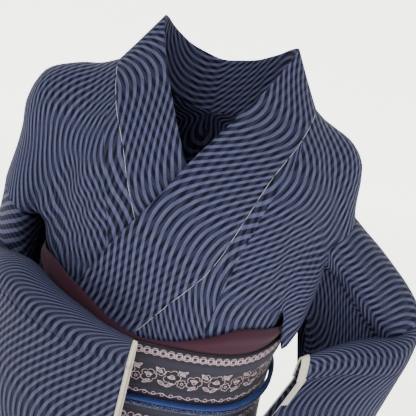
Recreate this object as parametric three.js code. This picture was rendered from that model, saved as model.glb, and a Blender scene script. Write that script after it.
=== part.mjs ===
// A kimono worn with its belt, as closed sheets of cloth round an empty body.
// Millimetres, +Z up. The origin is the middle of the shoulder line, the front faces -Y,
// and the wearer's left is +X.
import * as THREE from "three";

// Driving sizes of the cloth.
const CLOTH = 1.6; // wall of the kimono cloth
const COLLAR_CLOTH = 2.4; // the collar is folded double
const GAP = 0.3; // space between two pieces where they are sewn
const MOST_SET_BACK = 2.6; // of an edge from a seam that turns sharply
const CUFF = 230; // open part of a sleeve's end
const HALF_TURN = Math.PI;

// Heights of the belt and of the tuck under it.
const OBI_TOP = -293; // at the middle of the front
const OBI_RISE = 28; // how much higher the belt sits at the sides and back
const OBI_HEIGHT = 150;
const OBI_CLOTH = 3.5;
const TUCK_BOTTOM = -505;
const TUCK_TOP = -476;
const CHEST = -250; // the last row above which the cloth leaves the plain rings

// Layers of cloth over the figure, measured to the middle of each wall.
const NEAR = CLOTH / 2;
const STEP = CLOTH + GAP;
const FAR = 5.7; // the left side lies over the right side and its collar
const LEFT_SKIRT = 4;
const OBI_INSIDE = 7.9;
const OBI_INSIDE_BACK = 2.6;

// Rings of the general figure: the width to each side, and the depth in front and
// behind. The waist is tied a little slimmer on the left.
const SQUARE = 2.5; // exponent of the rings' rounded square shape
const RINGS = [
  { z: -1330, right: 150, left: 150, front: 118, back: 118 },
  { z: -900, right: 165, left: 165, front: 120, back: 125 },
  { z: -640, right: 175, left: 175, front: 126, back: 128 },
  { z: -520, right: 165, left: 162, front: 125, back: 118 },
  { z: -450, right: 152, left: 145, front: 120, back: 106 },
  { z: -370, right: 145, left: 136, front: 119, back: 100 },
  { z: -290, right: 148, left: 138, front: 121, back: 100 },
  { z: -200, right: 154, left: 151, front: 119, back: 100 },
  { z: -118, right: 153, left: 153, front: 106, back: 94 },
  { z: -60, right: 140, left: 140, front: 80, back: 76 },
  { z: -20, right: 104, left: 104, front: 46, back: 46 },
  { z: 0, right: 60, left: 60, front: 20, back: 22 },
];

// Rounded limbs and rolls that the cloth goes over. Each runs from a to b, with its
// radius at each end; deep is how many times deeper than wide the far end is.
const LIMBS = [
  { a: [-48, 14, -44], b: [-163, 10, -90], ra: 44, rb: 43, deep: 1 },
  { a: [48, 14, -44], b: [143, 10, -91], ra: 43, rb: 40, deep: 1 },
  { a: [-163, 10, -90], b: [-198, 12, -215], ra: 43, rb: 27, deep: 2.1 },
  { a: [143, 10, -91], b: [181, 12, -180], ra: 40, rb: 28, deep: 1.9 },
];
const ROLLS = [
  { a: [-143, -24, -100], b: [-149, -28, -196], ra: 14, rb: 22, deep: 1 },
  { a: [136, -40, -105], b: [147, -44, -206], ra: 15, rb: 20, deep: 1 },
];

// The collar's lines from the nape to the belt: the seam where it is sewn on, and its
// free inner edge, for the left side on top and the right side under it.
const COLLAR_LINES = [
  { leftSeam: [0, 104, -60], leftEdge: [0, 110, -6],
    rightSeam: [0, 104, -60], rightEdge: [0, 110, -6] },
  { leftSeam: [42, 98, -52], leftEdge: [38, 102, 3],
    rightSeam: [-42, 98, -52], rightEdge: [-38, 102, 3] },
  { leftSeam: [82, 76, -36], leftEdge: [64, 78, 20],
    rightSeam: [-82, 76, -36], rightEdge: [-64, 78, 20] },
  { leftSeam: [110, 42, -20], leftEdge: [76, 46, 34],
    rightSeam: [-110, 42, -20], rightEdge: [-76, 46, 34] },
  { leftSeam: [117, 6, -15], leftEdge: [78, 14, 36],
    rightSeam: [-121, 6, -15], rightEdge: [-79, 14, 36] },
  { leftSeam: [109, -26, -30], leftEdge: [64, -8, 12],
    rightSeam: [-115, -26, -34], rightEdge: [-71, -12, 6] },
  { leftSeam: [96, -58, -54], leftEdge: [42, -38, -20],
    rightSeam: [-106, -58, -60], rightEdge: [-52, -56, -34] },
  { leftSeam: [75, -86, -86], leftEdge: [10, -76, -58],
    rightSeam: [-88, -88, -97], rightEdge: [-24, -94, -88] },
  { leftSeam: [61, -100, -117], leftEdge: [-19, -99, -97],
    rightSeam: [-74, -100, -130], rightEdge: [4, -108, -128] },
  { leftSeam: [49, -109, -150], leftEdge: [-42, -106, -138],
    rightSeam: [-58, -110, -164], rightEdge: [34, -112, -160] },
  { leftSeam: [30, -119, -199], leftEdge: [-72, -108, -188],
    rightSeam: [-36, -117, -204], rightEdge: [68, -108, -204] },
  { leftSeam: [-4, -121, -246], leftEdge: [-99, -100, -248],
    rightSeam: [-2, -121, -250], rightEdge: [95, -100, -252] },
  { leftSeam: [-38, -121, -296], leftEdge: [-119, -86, -300],
    rightSeam: [38, -121, -300], rightEdge: [116, -88, -302] },
  { leftSeam: [-60, -120, -330], leftEdge: [-128, -78, -330],
    rightSeam: [60, -120, -330], rightEdge: [126, -80, -330] },
];
const COLLAR_STEPS = 5; // points between two rows of the table
const JUNCTION = 5.6; // place along COLLAR_LINES where an overlap panel starts
const COLLAR_END = -330; // the collar ends behind the belt

// The seam between a front and its overlap panel: x at each height, for the left side
// on top and for the right side under it.
const OKUMI_SEAMS = [
  { z: -50, left: 101, right: -111 },
  { z: -80, left: 91, right: -114 },
  { z: -125, left: 73, right: -101 },
  { z: -180, left: 58, right: -86 },
  { z: -250, left: 44, right: -72 },
  { z: -330, left: 26, right: -52 },
  { z: -450, left: -14, right: -4 },
  { z: -640, left: -50, right: 40 },
  { z: -1330, left: -56, right: 44 },
];
// Front edges of the overlap panels below the collar, as degrees round the body.
const FRONT_EDGES = [
  { z: -330, left: -27, right: 27 },
  { z: -400, left: -48, right: 42 },
  { z: -450, left: -61, right: 50 },
  { z: -1330, left: -62, right: 50 },
];
// Side seams, as degrees round the body: the slit under the arm, then the seam.
const SIDES = [
  { z: -250, front: 86, back: 95 },
  { z: -300, front: 84, back: 88 },
  { z: -360, front: 79, back: 79 },
  { z: -450, front: 73, back: 73 },
  { z: -640, front: 67, back: 67 },
  { z: -1330, front: 67, back: 67 },
];

// Rows of the skirt and of the tuck, from the hem up. The layer counts the folds:
// 0 is the skirt, 1 the fold that runs back up, 2 the outside.
const SKIRT_ROWS = [
  { z: -1330, layer: 0 },
  { z: -1190, layer: 0 },
  { z: -1050, layer: 0 },
  { z: -910, layer: 0 },
  { z: -780, layer: 0 },
  { z: -680, layer: 0 },
  { z: -600, layer: 0 },
  { z: -545, layer: 0 },
  { z: -500, layer: 0 },
  { z: TUCK_TOP - 2, layer: 0 },
  { z: TUCK_TOP - 1, layer: 0.5 },
  { z: TUCK_TOP - 2, layer: 1 },
  { z: -500, layer: 1 },
  { z: TUCK_BOTTOM, layer: 1.5 },
  { z: -500, layer: 2 },
  { z: -473, layer: 2 },
  { z: -457, layer: -1 },
  { z: -410, layer: -1 },
  { z: -360, layer: -1 },
  { z: -330, layer: -1 },
  { z: -300, layer: -1 },
  { z: CHEST, layer: -1 },
];
// Where the left front falls over the belt at its side: the places of its rows from the
// chest line up, and how far each row goes there.
const OVERHANG = [
  { z: -246, level: 3, share: 1 },
  { z: -256, level: 17, share: 1 },
  { z: -294, level: 20, share: 1 },
  { z: -262, level: 26, share: 1 },
  { z: -215, level: 24, share: 0.6 },
];
const TUCK_ROWS = 16; // the rows of SKIRT_ROWS up to the tuck's top
const PANEL_COLUMNS = 8;
const OKUMI_COLUMNS = 6;
const COLLAR_COLUMNS = 5;

// Stations of a sleeve from the armhole to the cuff. Each loop is an arc about
// (x, y, z) through the top fold at (upX, upY, upZ) and the front layer's side at
// (sideX, sideY, sideZ), open by arc degrees each way, then two walls that hang to
// the bottom at (footX, footY, footZ). sway moves the hanging walls as they fall, and
// near moves the back wall towards the body.
const SLEEVES = {
  right: [
    { x: -196, y: 12, z: -205, upX: -27, upY: 0, upZ: 22, sideX: 0, sideY: -58, sideZ: 0,
      arc: 165, footX: -173, footY: 12, footZ: -486, swayX: 0, swayY: 0, near: 12 },
    { x: -198, y: 8, z: -240, upX: -25, upY: -2, upZ: 20, sideX: 6, sideY: -48, sideZ: 0,
      arc: 156, footX: -180, footY: 6, footZ: -505, swayX: 0, swayY: 0, near: 10 },
    { x: -199, y: 0, z: -274, upX: -23, upY: -6, upZ: 22, sideX: 16, sideY: -38, sideZ: 4,
      arc: 142, footX: -188, footY: -6, footZ: -535, swayX: 0, swayY: 0, near: 5 },
    { x: -197, y: -20, z: -296, upX: -14, upY: -8, upZ: 32, sideX: 25, sideY: -18, sideZ: 4,
      arc: 122, footX: -191, footY: -26, footZ: -575, swayX: 0, swayY: 0, near: 0 },
    { x: -187, y: -60, z: -296, upX: -4, upY: -2, upZ: 42, sideX: 24, sideY: 4, sideZ: 0,
      arc: 102, footX: -186, footY: -64, footZ: -615, swayX: 0, swayY: 0, near: 0 },
    { x: -164, y: -98, z: -286, upX: 0, upY: 0, upZ: 43, sideX: 19, sideY: 13, sideZ: 0,
      arc: 93, footX: -165, footY: -102, footZ: -655, swayX: 0, swayY: 0, near: 0 },
    { x: -130, y: -133, z: -290, upX: 0, upY: 0, upZ: 41, sideX: 14, sideY: 17, sideZ: 0,
      arc: 90, footX: -131, footY: -136, footZ: -692, swayX: 0, swayY: 0, near: 0 },
    { x: -92, y: -154, z: -297, upX: 0, upY: 0, upZ: 40, sideX: 9, sideY: 17, sideZ: 0,
      arc: 90, footX: -92, footY: -158, footZ: -722, swayX: 0, swayY: 0, near: 0 },
    { x: -60, y: -164, z: -304, upX: 0, upY: 0, upZ: 38, sideX: 6, sideY: 15, sideZ: 0,
      arc: 90, footX: -60, footY: -167, footZ: -742, swayX: 0, swayY: 0, near: 0 },
    { x: -31, y: -168, z: -308, upX: 0, upY: 0, upZ: 36, sideX: 5, sideY: 13, sideZ: 0,
      arc: 90, footX: -31, footY: -171, footZ: -760, swayX: 0, swayY: 0, near: 0 },
  ],
  left: [
    { x: 181, y: 12, z: -157, upX: 26, upY: 0, upZ: 20, sideX: 0, sideY: -54, sideZ: 0,
      arc: 160, footX: 212, footY: 12, footZ: -435, swayX: 0, swayY: 0, near: -4 },
    { x: 211, y: 12, z: -188, upX: 26, upY: 0, upZ: 22, sideX: -2, sideY: -50, sideZ: 0,
      arc: 156, footX: 222, footY: 8, footZ: -480, swayX: 0, swayY: 0, near: -4 },
    { x: 246, y: 10, z: -222, upX: 26, upY: 0, upZ: 28, sideX: -4, sideY: -46, sideZ: 2,
      arc: 146, footX: 236, footY: 3, footZ: -530, swayX: 0, swayY: 0, near: 0 },
    { x: 279, y: 4, z: -254, upX: 22, upY: 0, upZ: 34, sideX: -10, sideY: -40, sideZ: 4,
      arc: 132, footX: 242, footY: -8, footZ: -580, swayX: 0, swayY: 0, near: 0 },
    { x: 300, y: -12, z: -284, upX: 16, upY: -2, upZ: 38, sideX: -20, sideY: -24, sideZ: 4,
      arc: 116, footX: 240, footY: -28, footZ: -625, swayX: 0, swayY: 0, near: 0 },
    { x: 284, y: -40, z: -302, upX: 4, upY: -2, upZ: 42, sideX: -20, sideY: 4, sideZ: 0,
      arc: 102, footX: 236, footY: -58, footZ: -662, swayX: -4, swayY: -4, near: 0 },
    { x: 250, y: -58, z: -304, upX: 0, upY: 0, upZ: 40, sideX: -14, sideY: 18, sideZ: 0,
      arc: 93, footX: 212, footY: -90, footZ: -692, swayX: -12, swayY: -10, near: 0 },
    { x: 219, y: -70, z: -308, upX: 0, upY: 0, upZ: 38, sideX: -9, sideY: 18, sideZ: 0,
      arc: 90, footX: 178, footY: -122, footZ: -712, swayX: -24, swayY: -20, near: 0 },
    { x: 191, y: -80, z: -316, upX: 0, upY: 0, upZ: 36, sideX: -8, sideY: 15, sideZ: 0,
      arc: 90, footX: 146, footY: -144, footZ: -728, swayX: -34, swayY: -30, near: 0 },
    { x: 167, y: -88, z: -326, upX: 0, upY: 0, upZ: 34, sideX: -7, sideY: 12, sideZ: 0,
      arc: 90, footX: 118, footY: -160, footZ: -744, swayX: -40, swayY: -36, near: 0 },
  ],
};
// Top edge of the scarf above the belt, as heights at degrees round the body.
const SCARF_TOP = [
  { degrees: -180, z: -246 },
  { degrees: -100, z: -243 },
  { degrees: -85, z: -245 },
  { degrees: -55, z: -240 },
  { degrees: -38, z: -251 },
  { degrees: -28, z: -262 },
  { degrees: -18, z: -277 },
  { degrees: -4, z: -289 },
  { degrees: 15, z: -273 },
  { degrees: 28, z: -260 },
  { degrees: 44, z: -261 },
  { degrees: 70, z: -264 },
  { degrees: 100, z: -246 },
  { degrees: 180, z: -246 },
];
const SCARF_CLOTH = 2.2;
const SCARF_TUCKED = 20; // how far the scarf goes down behind the belt
const OBI_COLUMNS = 40;
const CORD_DEPTH = 5;
const CORD_HEIGHT = 10;
const CORD_SIDES = 8;
const KNOT_HALF = 17;
const KNOT_DEPTH = 6;
const KNOT_TALL = 10;
const KNOT_AT = 7; // place along the cord, in steps of ten degrees from the right side
const CORD_SLIMMER = 9; // how much nearer the cord leaves the slimmer left side
// The cord behind the left side: x, and y from the middle of the hand end.
const CORD_BACK = [
  { x: 157, y: -78 },
  { x: 174.6, y: -25 },
  { x: 177.4, y: -13.6 },
  { x: 173.6, y: -7.8 },
  { x: 162, y: -6.2 },
  { x: 120, y: -1.5 },
  { x: 80, y: 2.3 },
  { x: 40, y: 4.6 },
  { x: 0, y: 5.4 },
];

// The drum knot at the back: its profile from the belt's back over the pillow's place,
// down the outer face and up inside. half is half its width there.
const DRUM = [
  { y: 0, z: -296, half: 78 },
  { y: 0, z: -266, half: 96 },
  { y: 5, z: -240, half: 120 },
  { y: 14, z: -216, half: 142 },
  { y: 28, z: -196, half: 151 },
  { y: 48, z: -185, half: 152 },
  { y: 68, z: -194, half: 152 },
  { y: 82, z: -222, half: 152 },
  { y: 90, z: -280, half: 152 },
  { y: 90, z: -340, half: 151 },
  { y: 82, z: -396, half: 150 },
  { y: 72, z: -424, half: 150 },
  { y: 60, z: -430, half: 150 },
  { y: 52, z: -418, half: 149 },
  { y: 50, z: -380, half: 148 },
];
const DRUM_COLUMNS = 8;
const BOW = 14 / 171 ** 2; // how fast the pieces behind turn forward at their sides
const BACK_FACE = 100 + OBI_INSIDE_BACK + OBI_CLOTH;
// The hand end across the back, and the tail that hangs under the drum.
const HAND_HALF = 171;
const HAND = [
  { y: 6.2, z: -301 },
  { y: 6.2, z: -330 },
  { y: 7.1, z: -360 },
  { y: 8.9, z: -390 },
];
const TAIL_HALF = 146;
const TAIL = [
  { y: 2.2, z: -330 },
  { y: 3.2, z: -370 },
  { y: 5.5, z: -400 },
  { y: 8, z: -418 },
  { y: 14, z: -442 },
  { y: 19, z: -470 },
  { y: 21, z: -503 },
];
const handY = BACK_FACE + HAND[0].y;

const SLEEVE_STATIONS = 15;
const ARM_FRONT_ROWS = 9;
const ARM_BACK_ROWS = 10;
const HANGING_ROWS = 6;
const SWAY_AT = 0.3; // where on its way down the sway of a hanging wall is widest
const LINING = 1.2;
// The lining strip's rows: a station of the sleeve from its end, and how far out past it.
const LINING_ROWS = [
  { at: -1, out: 0 },
  { at: 0, out: 0 },
  { at: 0, out: 8 },
];
const FOOT_SPACE = 9; // between the two layers at the bottom of a sleeve
const SEWN_SPACE = 2.2; // between the middles of the two layers where the cuff is sewn shut

const add = (p, q, s = 1) => [p[0] + q[0] * s, p[1] + q[1] * s, p[2] + q[2] * s];
const sub = (p, q) => [p[0] - q[0], p[1] - q[1], p[2] - q[2]];
const dot = (p, q) => p[0] * q[0] + p[1] * q[1] + p[2] * q[2];
const cross = (p, q) => [
  p[1] * q[2] - p[2] * q[1],
  p[2] * q[0] - p[0] * q[2],
  p[0] * q[1] - p[1] * q[0],
];
const size = (p) => Math.hypot(p[0], p[1], p[2]);
const unit = (p) => {
  const s = size(p) || 1;
  return [p[0] / s, p[1] / s, p[2] / s];
};
const mix = (a, b, t) => a + (b - a) * t;
const mixPoint = (p, q, t) => [mix(p[0], q[0], t), mix(p[1], q[1], t), mix(p[2], q[2], t)];
const clamp = (v, low, high) => Math.min(high, Math.max(low, v));
const smooth = (from, to, v) => {
  const t = clamp((v - from) / (to - from), 0, 1);
  return t * t * (3 - 2 * t);
};
const radians = (degrees) => (degrees * HALF_TURN) / 180;
const signedPower = (v, n) => Math.sign(v) * Math.abs(v) ** n;

// A smooth curve through the values of one column, at a position between the rows.
function through(values, at) {
  const last = values.length - 1;
  const i = clamp(Math.floor(at), 0, last - 1);
  const t = at - i;
  const p0 = values[Math.max(i - 1, 0)];
  const p1 = values[i];
  const p2 = values[i + 1];
  const p3 = values[Math.min(i + 2, last)];
  const curve = (a, b, c, d) => {
    const bend = 2 * a - 5 * b + 4 * c - d;
    return b + 0.5 * t * (c - a + t * (bend + t * (3 * (b - c) + d - a)));
  };
  return Array.isArray(p1) ? p1.map((v, k) => curve(p0[k], v, p2[k], p3[k])) : curve(p0, p1, p2, p3);
}

// The value of a column of a table at a height, where the rows run down or up in z.
function atHeight(table, column, z) {
  const down = table[0].z > table[table.length - 1].z;
  const rows = down ? table : [...table].reverse();
  if (z >= rows[0].z) return rows[0][column];
  if (z <= rows[rows.length - 1].z) return rows[rows.length - 1][column];
  const i = rows.findIndex((row) => row.z < z) - 1;
  const t = (rows[i].z - z) / (rows[i].z - rows[i + 1].z);
  return through(rows.map((row) => row[column]), i + t);
}

// The ring at height z, with half its width on the side of x.
function ringAt(z, x) {
  return {
    half: atHeight(RINGS, x > 0 ? "left" : "right", z),
    front: atHeight(RINGS, "front", z),
    back: atHeight(RINGS, "back", z),
  };
}

// A point of the ring at height z, turned by an angle from the front, moved out by a layer.
function ringPoint(z, degrees, layer) {
  const ring = ringAt(z, degrees);
  const s = Math.sin(radians(degrees));
  const c = Math.cos(radians(degrees));
  const depth = c > 0 ? ring.front : ring.back;
  return [
    (ring.half + layer) * signedPower(s, 2 / SQUARE),
    -(depth + layer) * signedPower(c, 2 / SQUARE),
    z,
  ];
}

// The angle from the front, in degrees, of the point of a ring that lies at x.
function angleAtX(z, x) {
  const part = Math.min(Math.abs(x) / ringAt(z, x).half, 1);
  return (Math.sign(x) * Math.asin(part ** (SQUARE / 2)) * 180) / HALF_TURN;
}

const softMin = (a, b, k) => {
  const h = Math.max(k - Math.abs(a - b), 0) / k;
  return Math.min(a, b) - (h * h * k) / 4;
};

function torsoDistance([x, y, z]) {
  const ring = ringAt(Math.min(z, 0), x);
  const depth = y < 0 ? ring.front : ring.back;
  const rho = ((Math.abs(x) / ring.half) ** SQUARE + (Math.abs(y) / depth) ** SQUARE) ** (1 / SQUARE);
  const out = rho > 1e-3 ? Math.hypot(x, y) * (1 - 1 / rho) : -depth;
  return z > 0 ? Math.hypot(Math.max(out, 0), z) : out;
}

function limbDistance([x, y, z], limb) {
  const axis = sub(limb.b, limb.a);
  const off = [x - limb.a[0], 0, z - limb.a[2]];
  const along = clamp(dot(off, [axis[0], 0, axis[2]]) / (axis[0] ** 2 + axis[2] ** 2), 0, 1);
  const centre = add(limb.a, axis, along);
  const deep = mix(1, limb.deep, along);
  return Math.hypot(x - centre[0], (y - centre[1]) / deep, z - centre[2]) - mix(limb.ra, limb.rb, along);
}

// Distance from the figure that the cloth lies on, negative inside.
function figure(p) {
  let d = torsoDistance(p);
  for (const limb of LIMBS) d = softMin(d, limbDistance(p, limb), 28);
  for (const roll of ROLLS) d = softMin(d, limbDistance(p, roll), 12);
  return d;
}

function slope(p) {
  const h = 0.5;
  return [0, 1, 2].map((k) => {
    const step = [0, 0, 0];
    step[k] = h;
    return (figure(add(p, step)) - figure(sub(p, step))) / (2 * h);
  });
}

// Moves a point to a layer over the figure, along the shortest way.
function onLayer(p, layer) {
  let q = p;
  for (let i = 0; i < 8; i++) {
    const g = slope(q);
    const move = (layer - figure(q)) / Math.max(dot(g, g), 0.2);
    q = add(q, g, clamp(move, -25, 25));
  }
  return q;
}

// The first crossing of a layer on the way out from the figure's inside.
function outward(p, layer) {
  const inside = [p[0] * 0.84, 8, Math.min(p[2] - 42, -70)];
  const way = unit(sub(p, inside));
  let far = 0;
  while (figure(add(inside, way, far)) < layer && far < 400) far += 3;
  let near = Math.max(far - 3, 0);
  for (let i = 0; i < 20; i++) {
    const middle = (near + far) / 2;
    if (figure(add(inside, way, middle)) < layer) near = middle;
    else far = middle;
  }
  return add(inside, way, far);
}

// How far the left side is lifted over the right side: fully on the front, not at all
// on the shoulder, the side and the back.
function lift([x, y, z]) {
  const ring = ringAt(Math.min(z, -20), x);
  const angle = (Math.atan2(x / ring.half, -y / ring.front) * 180) / HALF_TURN;
  const fade = angle > 0 ? smooth(50, 64, angle) : smooth(74, 86, -angle);
  return smooth(-36, -84, z) * (1 - fade);
}

const layerOf = (side, p) => (side > 0 ? mix(NEAR, FAR, lift(p)) : NEAR);

// A closed sheet: the grid of points is its middle surface, and the wall is added on
// both sides along the surface's own normals. A grid that closes round has ring true.
function sheet(grid, wall, ring = false) {
  const rows = grid.length;
  const columns = grid[0].length;
  const column = (j) => (ring ? (j + columns) % columns : clamp(j, 0, columns - 1));
  const pick = (i, j) => grid[clamp(i, 0, rows - 1)][column(j)];
  const positions = [];
  for (const side of [1, -1])
    for (let i = 0; i < rows; i++)
      for (let j = 0; j < columns; j++) {
        const across = sub(pick(i, j + 1), pick(i, j - 1));
        const along = sub(pick(i + 1, j), pick(i - 1, j));
        const normal = unit(cross(across, along));
        positions.push(...add(grid[i][j], normal, (side * wall) / 2));
      }
  const index = [];
  const at = (side, i, j) => (side * rows + i) * columns + (ring ? (j + columns) % columns : j);
  const quad = (a, b, c, d) => index.push(a, b, c, a, c, d);
  const spans = ring ? columns : columns - 1;
  for (let i = 0; i < rows - 1; i++)
    for (let j = 0; j < spans; j++) {
      quad(at(0, i, j), at(0, i, j + 1), at(0, i + 1, j + 1), at(0, i + 1, j));
      quad(at(1, i, j), at(1, i + 1, j), at(1, i + 1, j + 1), at(1, i, j + 1));
    }
  for (let j = 0; j < spans; j++) {
    quad(at(0, 0, j), at(1, 0, j), at(1, 0, j + 1), at(0, 0, j + 1));
    quad(at(0, rows - 1, j), at(0, rows - 1, j + 1), at(1, rows - 1, j + 1), at(1, rows - 1, j));
  }
  if (!ring)
    for (let i = 0; i < rows - 1; i++) {
      quad(at(0, i, 0), at(0, i + 1, 0), at(1, i + 1, 0), at(1, i, 0));
      quad(at(0, i, spans), at(1, i, spans), at(1, i + 1, spans), at(0, i + 1, spans));
    }
  return solid(positions, index);
}

function solid(positions, index) {
  if (volume(positions, index) < 0) index.reverse();
  const geometry = new THREE.BufferGeometry();
  geometry.setAttribute("position", new THREE.Float32BufferAttribute(positions, 3));
  geometry.setIndex(index);
  geometry.computeVertexNormals();
  return geometry;
}

function volume(positions, index) {
  const point = (i) => positions.slice(i * 3, i * 3 + 3);
  let sum = 0;
  for (let i = 0; i < index.length; i += 3)
    sum += dot(point(index[i]), cross(point(index[i + 1]), point(index[i + 2])));
  return sum;
}

// Pulls the last edge of a grid back from a seam, along the sheet.
function pullBack(grid, distance) {
  for (const row of grid) {
    const end = row.length - 1;
    row[end] = add(row[end], unit(sub(row[end - 1], row[end])), distance);
  }
}

// Points of a polyline at equal steps of its length.
function evenly(points, count) {
  const sums = [0];
  for (let i = 1; i < points.length; i++) sums.push(sums[i - 1] + size(sub(points[i], points[i - 1])));
  const total = sums[sums.length - 1];
  return Array.from({ length: count }, (_, k) => {
    const want = (total * k) / (count - 1);
    let i = sums.findIndex((s) => s >= want - 1e-9);
    i = Math.max(i, 1);
    const t = (want - sums[i - 1]) / (sums[i] - sums[i - 1]);
    return mixPoint(points[i - 1], points[i], t);
  });
}

const collarColumn = (side, column) =>
  COLLAR_LINES.map((row) => row[(side > 0 ? "left" : "right") + column]);

// Points along one of the collar's lines, from the nape down to a row of the table.
function collarLine(side, column) {
  const values = collarColumn(side, column);
  const count = (values.length - 1) * COLLAR_STEPS + 1;
  return Array.from({ length: count }, (_, i) => through(values, i / COLLAR_STEPS));
}

// A point of a sleeve station's arc, turned by an angle from its top fold.
function arcPoint(s, angle) {
  const c = Math.cos(angle);
  const d = Math.sin(angle);
  return [
    s.x + s.upX * c + s.sideX * d,
    s.y + s.upY * c + s.sideY * d,
    s.z + s.upZ * c + s.sideZ * d,
  ];
}

// Half of the armhole, from the top of the shoulder fold to the underarm.
function armhole(side, way, count) {
  const s = SLEEVES[side > 0 ? "left" : "right"][0];
  return Array.from({ length: count }, (_, k) => {
    const angle = (way * radians(s.arc) * k) / (count - 1);
    return onLayer(arcPoint(s, angle), NEAR);
  });
}

const seamX = (side, z) => atHeight(OKUMI_SEAMS, side > 0 ? "left" : "right", z);

// Layer of a row below the chest. Only the left side's front and both backs are tucked.
function rowLayer(side, row, degrees, front) {
  const lifted = side > 0 && front ? 1 - smooth(53, 63, Math.abs(degrees)) : 0;
  const skirt = mix(NEAR, LEFT_SKIRT, lifted);
  if (row.layer >= 0) return skirt + STEP * row.layer;
  return mix(NEAR, FAR, lifted);
}

// The rows of one front or back below the chest, from the hem up, between two edges.
function lowerRows(side, front, columns, innerDegrees, outerDegrees) {
  const tucked = side > 0 || !front;
  return SKIRT_ROWS.map((row, index) => {
    const from = innerDegrees(row.z);
    const to = outerDegrees(row.z);
    return Array.from({ length: columns + 1 }, (_, j) => {
      const degrees = mix(from, to, j / columns);
      if (tucked) return ringPoint(row.z, degrees, rowLayer(side, row, Math.abs(degrees), front));
      const straight = mix(SKIRT_ROWS[0].z, CHEST, straightPart(index));
      return ringPoint(straight, mix(innerDegrees(straight), outerDegrees(straight), j / columns), NEAR);
    });
  });
}

// Without a tuck, the rows are spread along the height instead.
const straightPart = (index) => {
  const part = index / (SKIRT_ROWS.length - 1);
  return 1 - (1 - part) ** 1.3;
};

const innerFront = (side) => (z) => angleAtX(z, seamX(side, z));
const outerFront = (side) => (z) => side * atHeight(SIDES, "front", z);
const innerBack = (side) => () => side * 179.99;
const outerBack = (side) => (z) => side * atHeight(SIDES, "back", z);

const FRONT_UPPER = 13; // rows from the chest to the shoulder fold
const BACK_UPPER = 15;
const NECK_ROWS = 7; // of them beside the neck

// Evens out the grid between its edges while it stays on the figure.
function drape(grid, layer, rounds) {
  const rows = grid.length;
  const columns = grid[0].length;
  for (let round = 0; round < rounds; round++)
    for (let i = 1; i < rows - 1; i++)
      for (let j = 1; j < columns - 1; j++) {
        const near = [grid[i - 1][j], grid[i + 1][j], grid[i][j - 1], grid[i][j + 1]];
        const mean = near.reduce((sum, p) => add(sum, p, 0.25), [0, 0, 0]);
        grid[i][j] = onLayer(mean, layer(mean));
      }
}

// Lets the first rows of the left front fall over the belt, from the front to its free edge.
function hangOver(grid) {
  const from = angleAtX(CHEST, seamX(1, CHEST));
  const to = atHeight(SIDES, "front", CHEST);
  OVERHANG.forEach((row, i) => {
    const columns = row.share < 1 ? PANEL_COLUMNS : PANEL_COLUMNS + 1;
    for (let j = 0; j < columns; j++) {
      const degrees = mix(from, to, j / PANEL_COLUMNS);
      const share = row.share * smooth(46, 62, degrees);
      grid[i][j] = mixPoint(grid[i][j], ringPoint(row.z, degrees, row.level), share);
    }
  });
}

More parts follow.
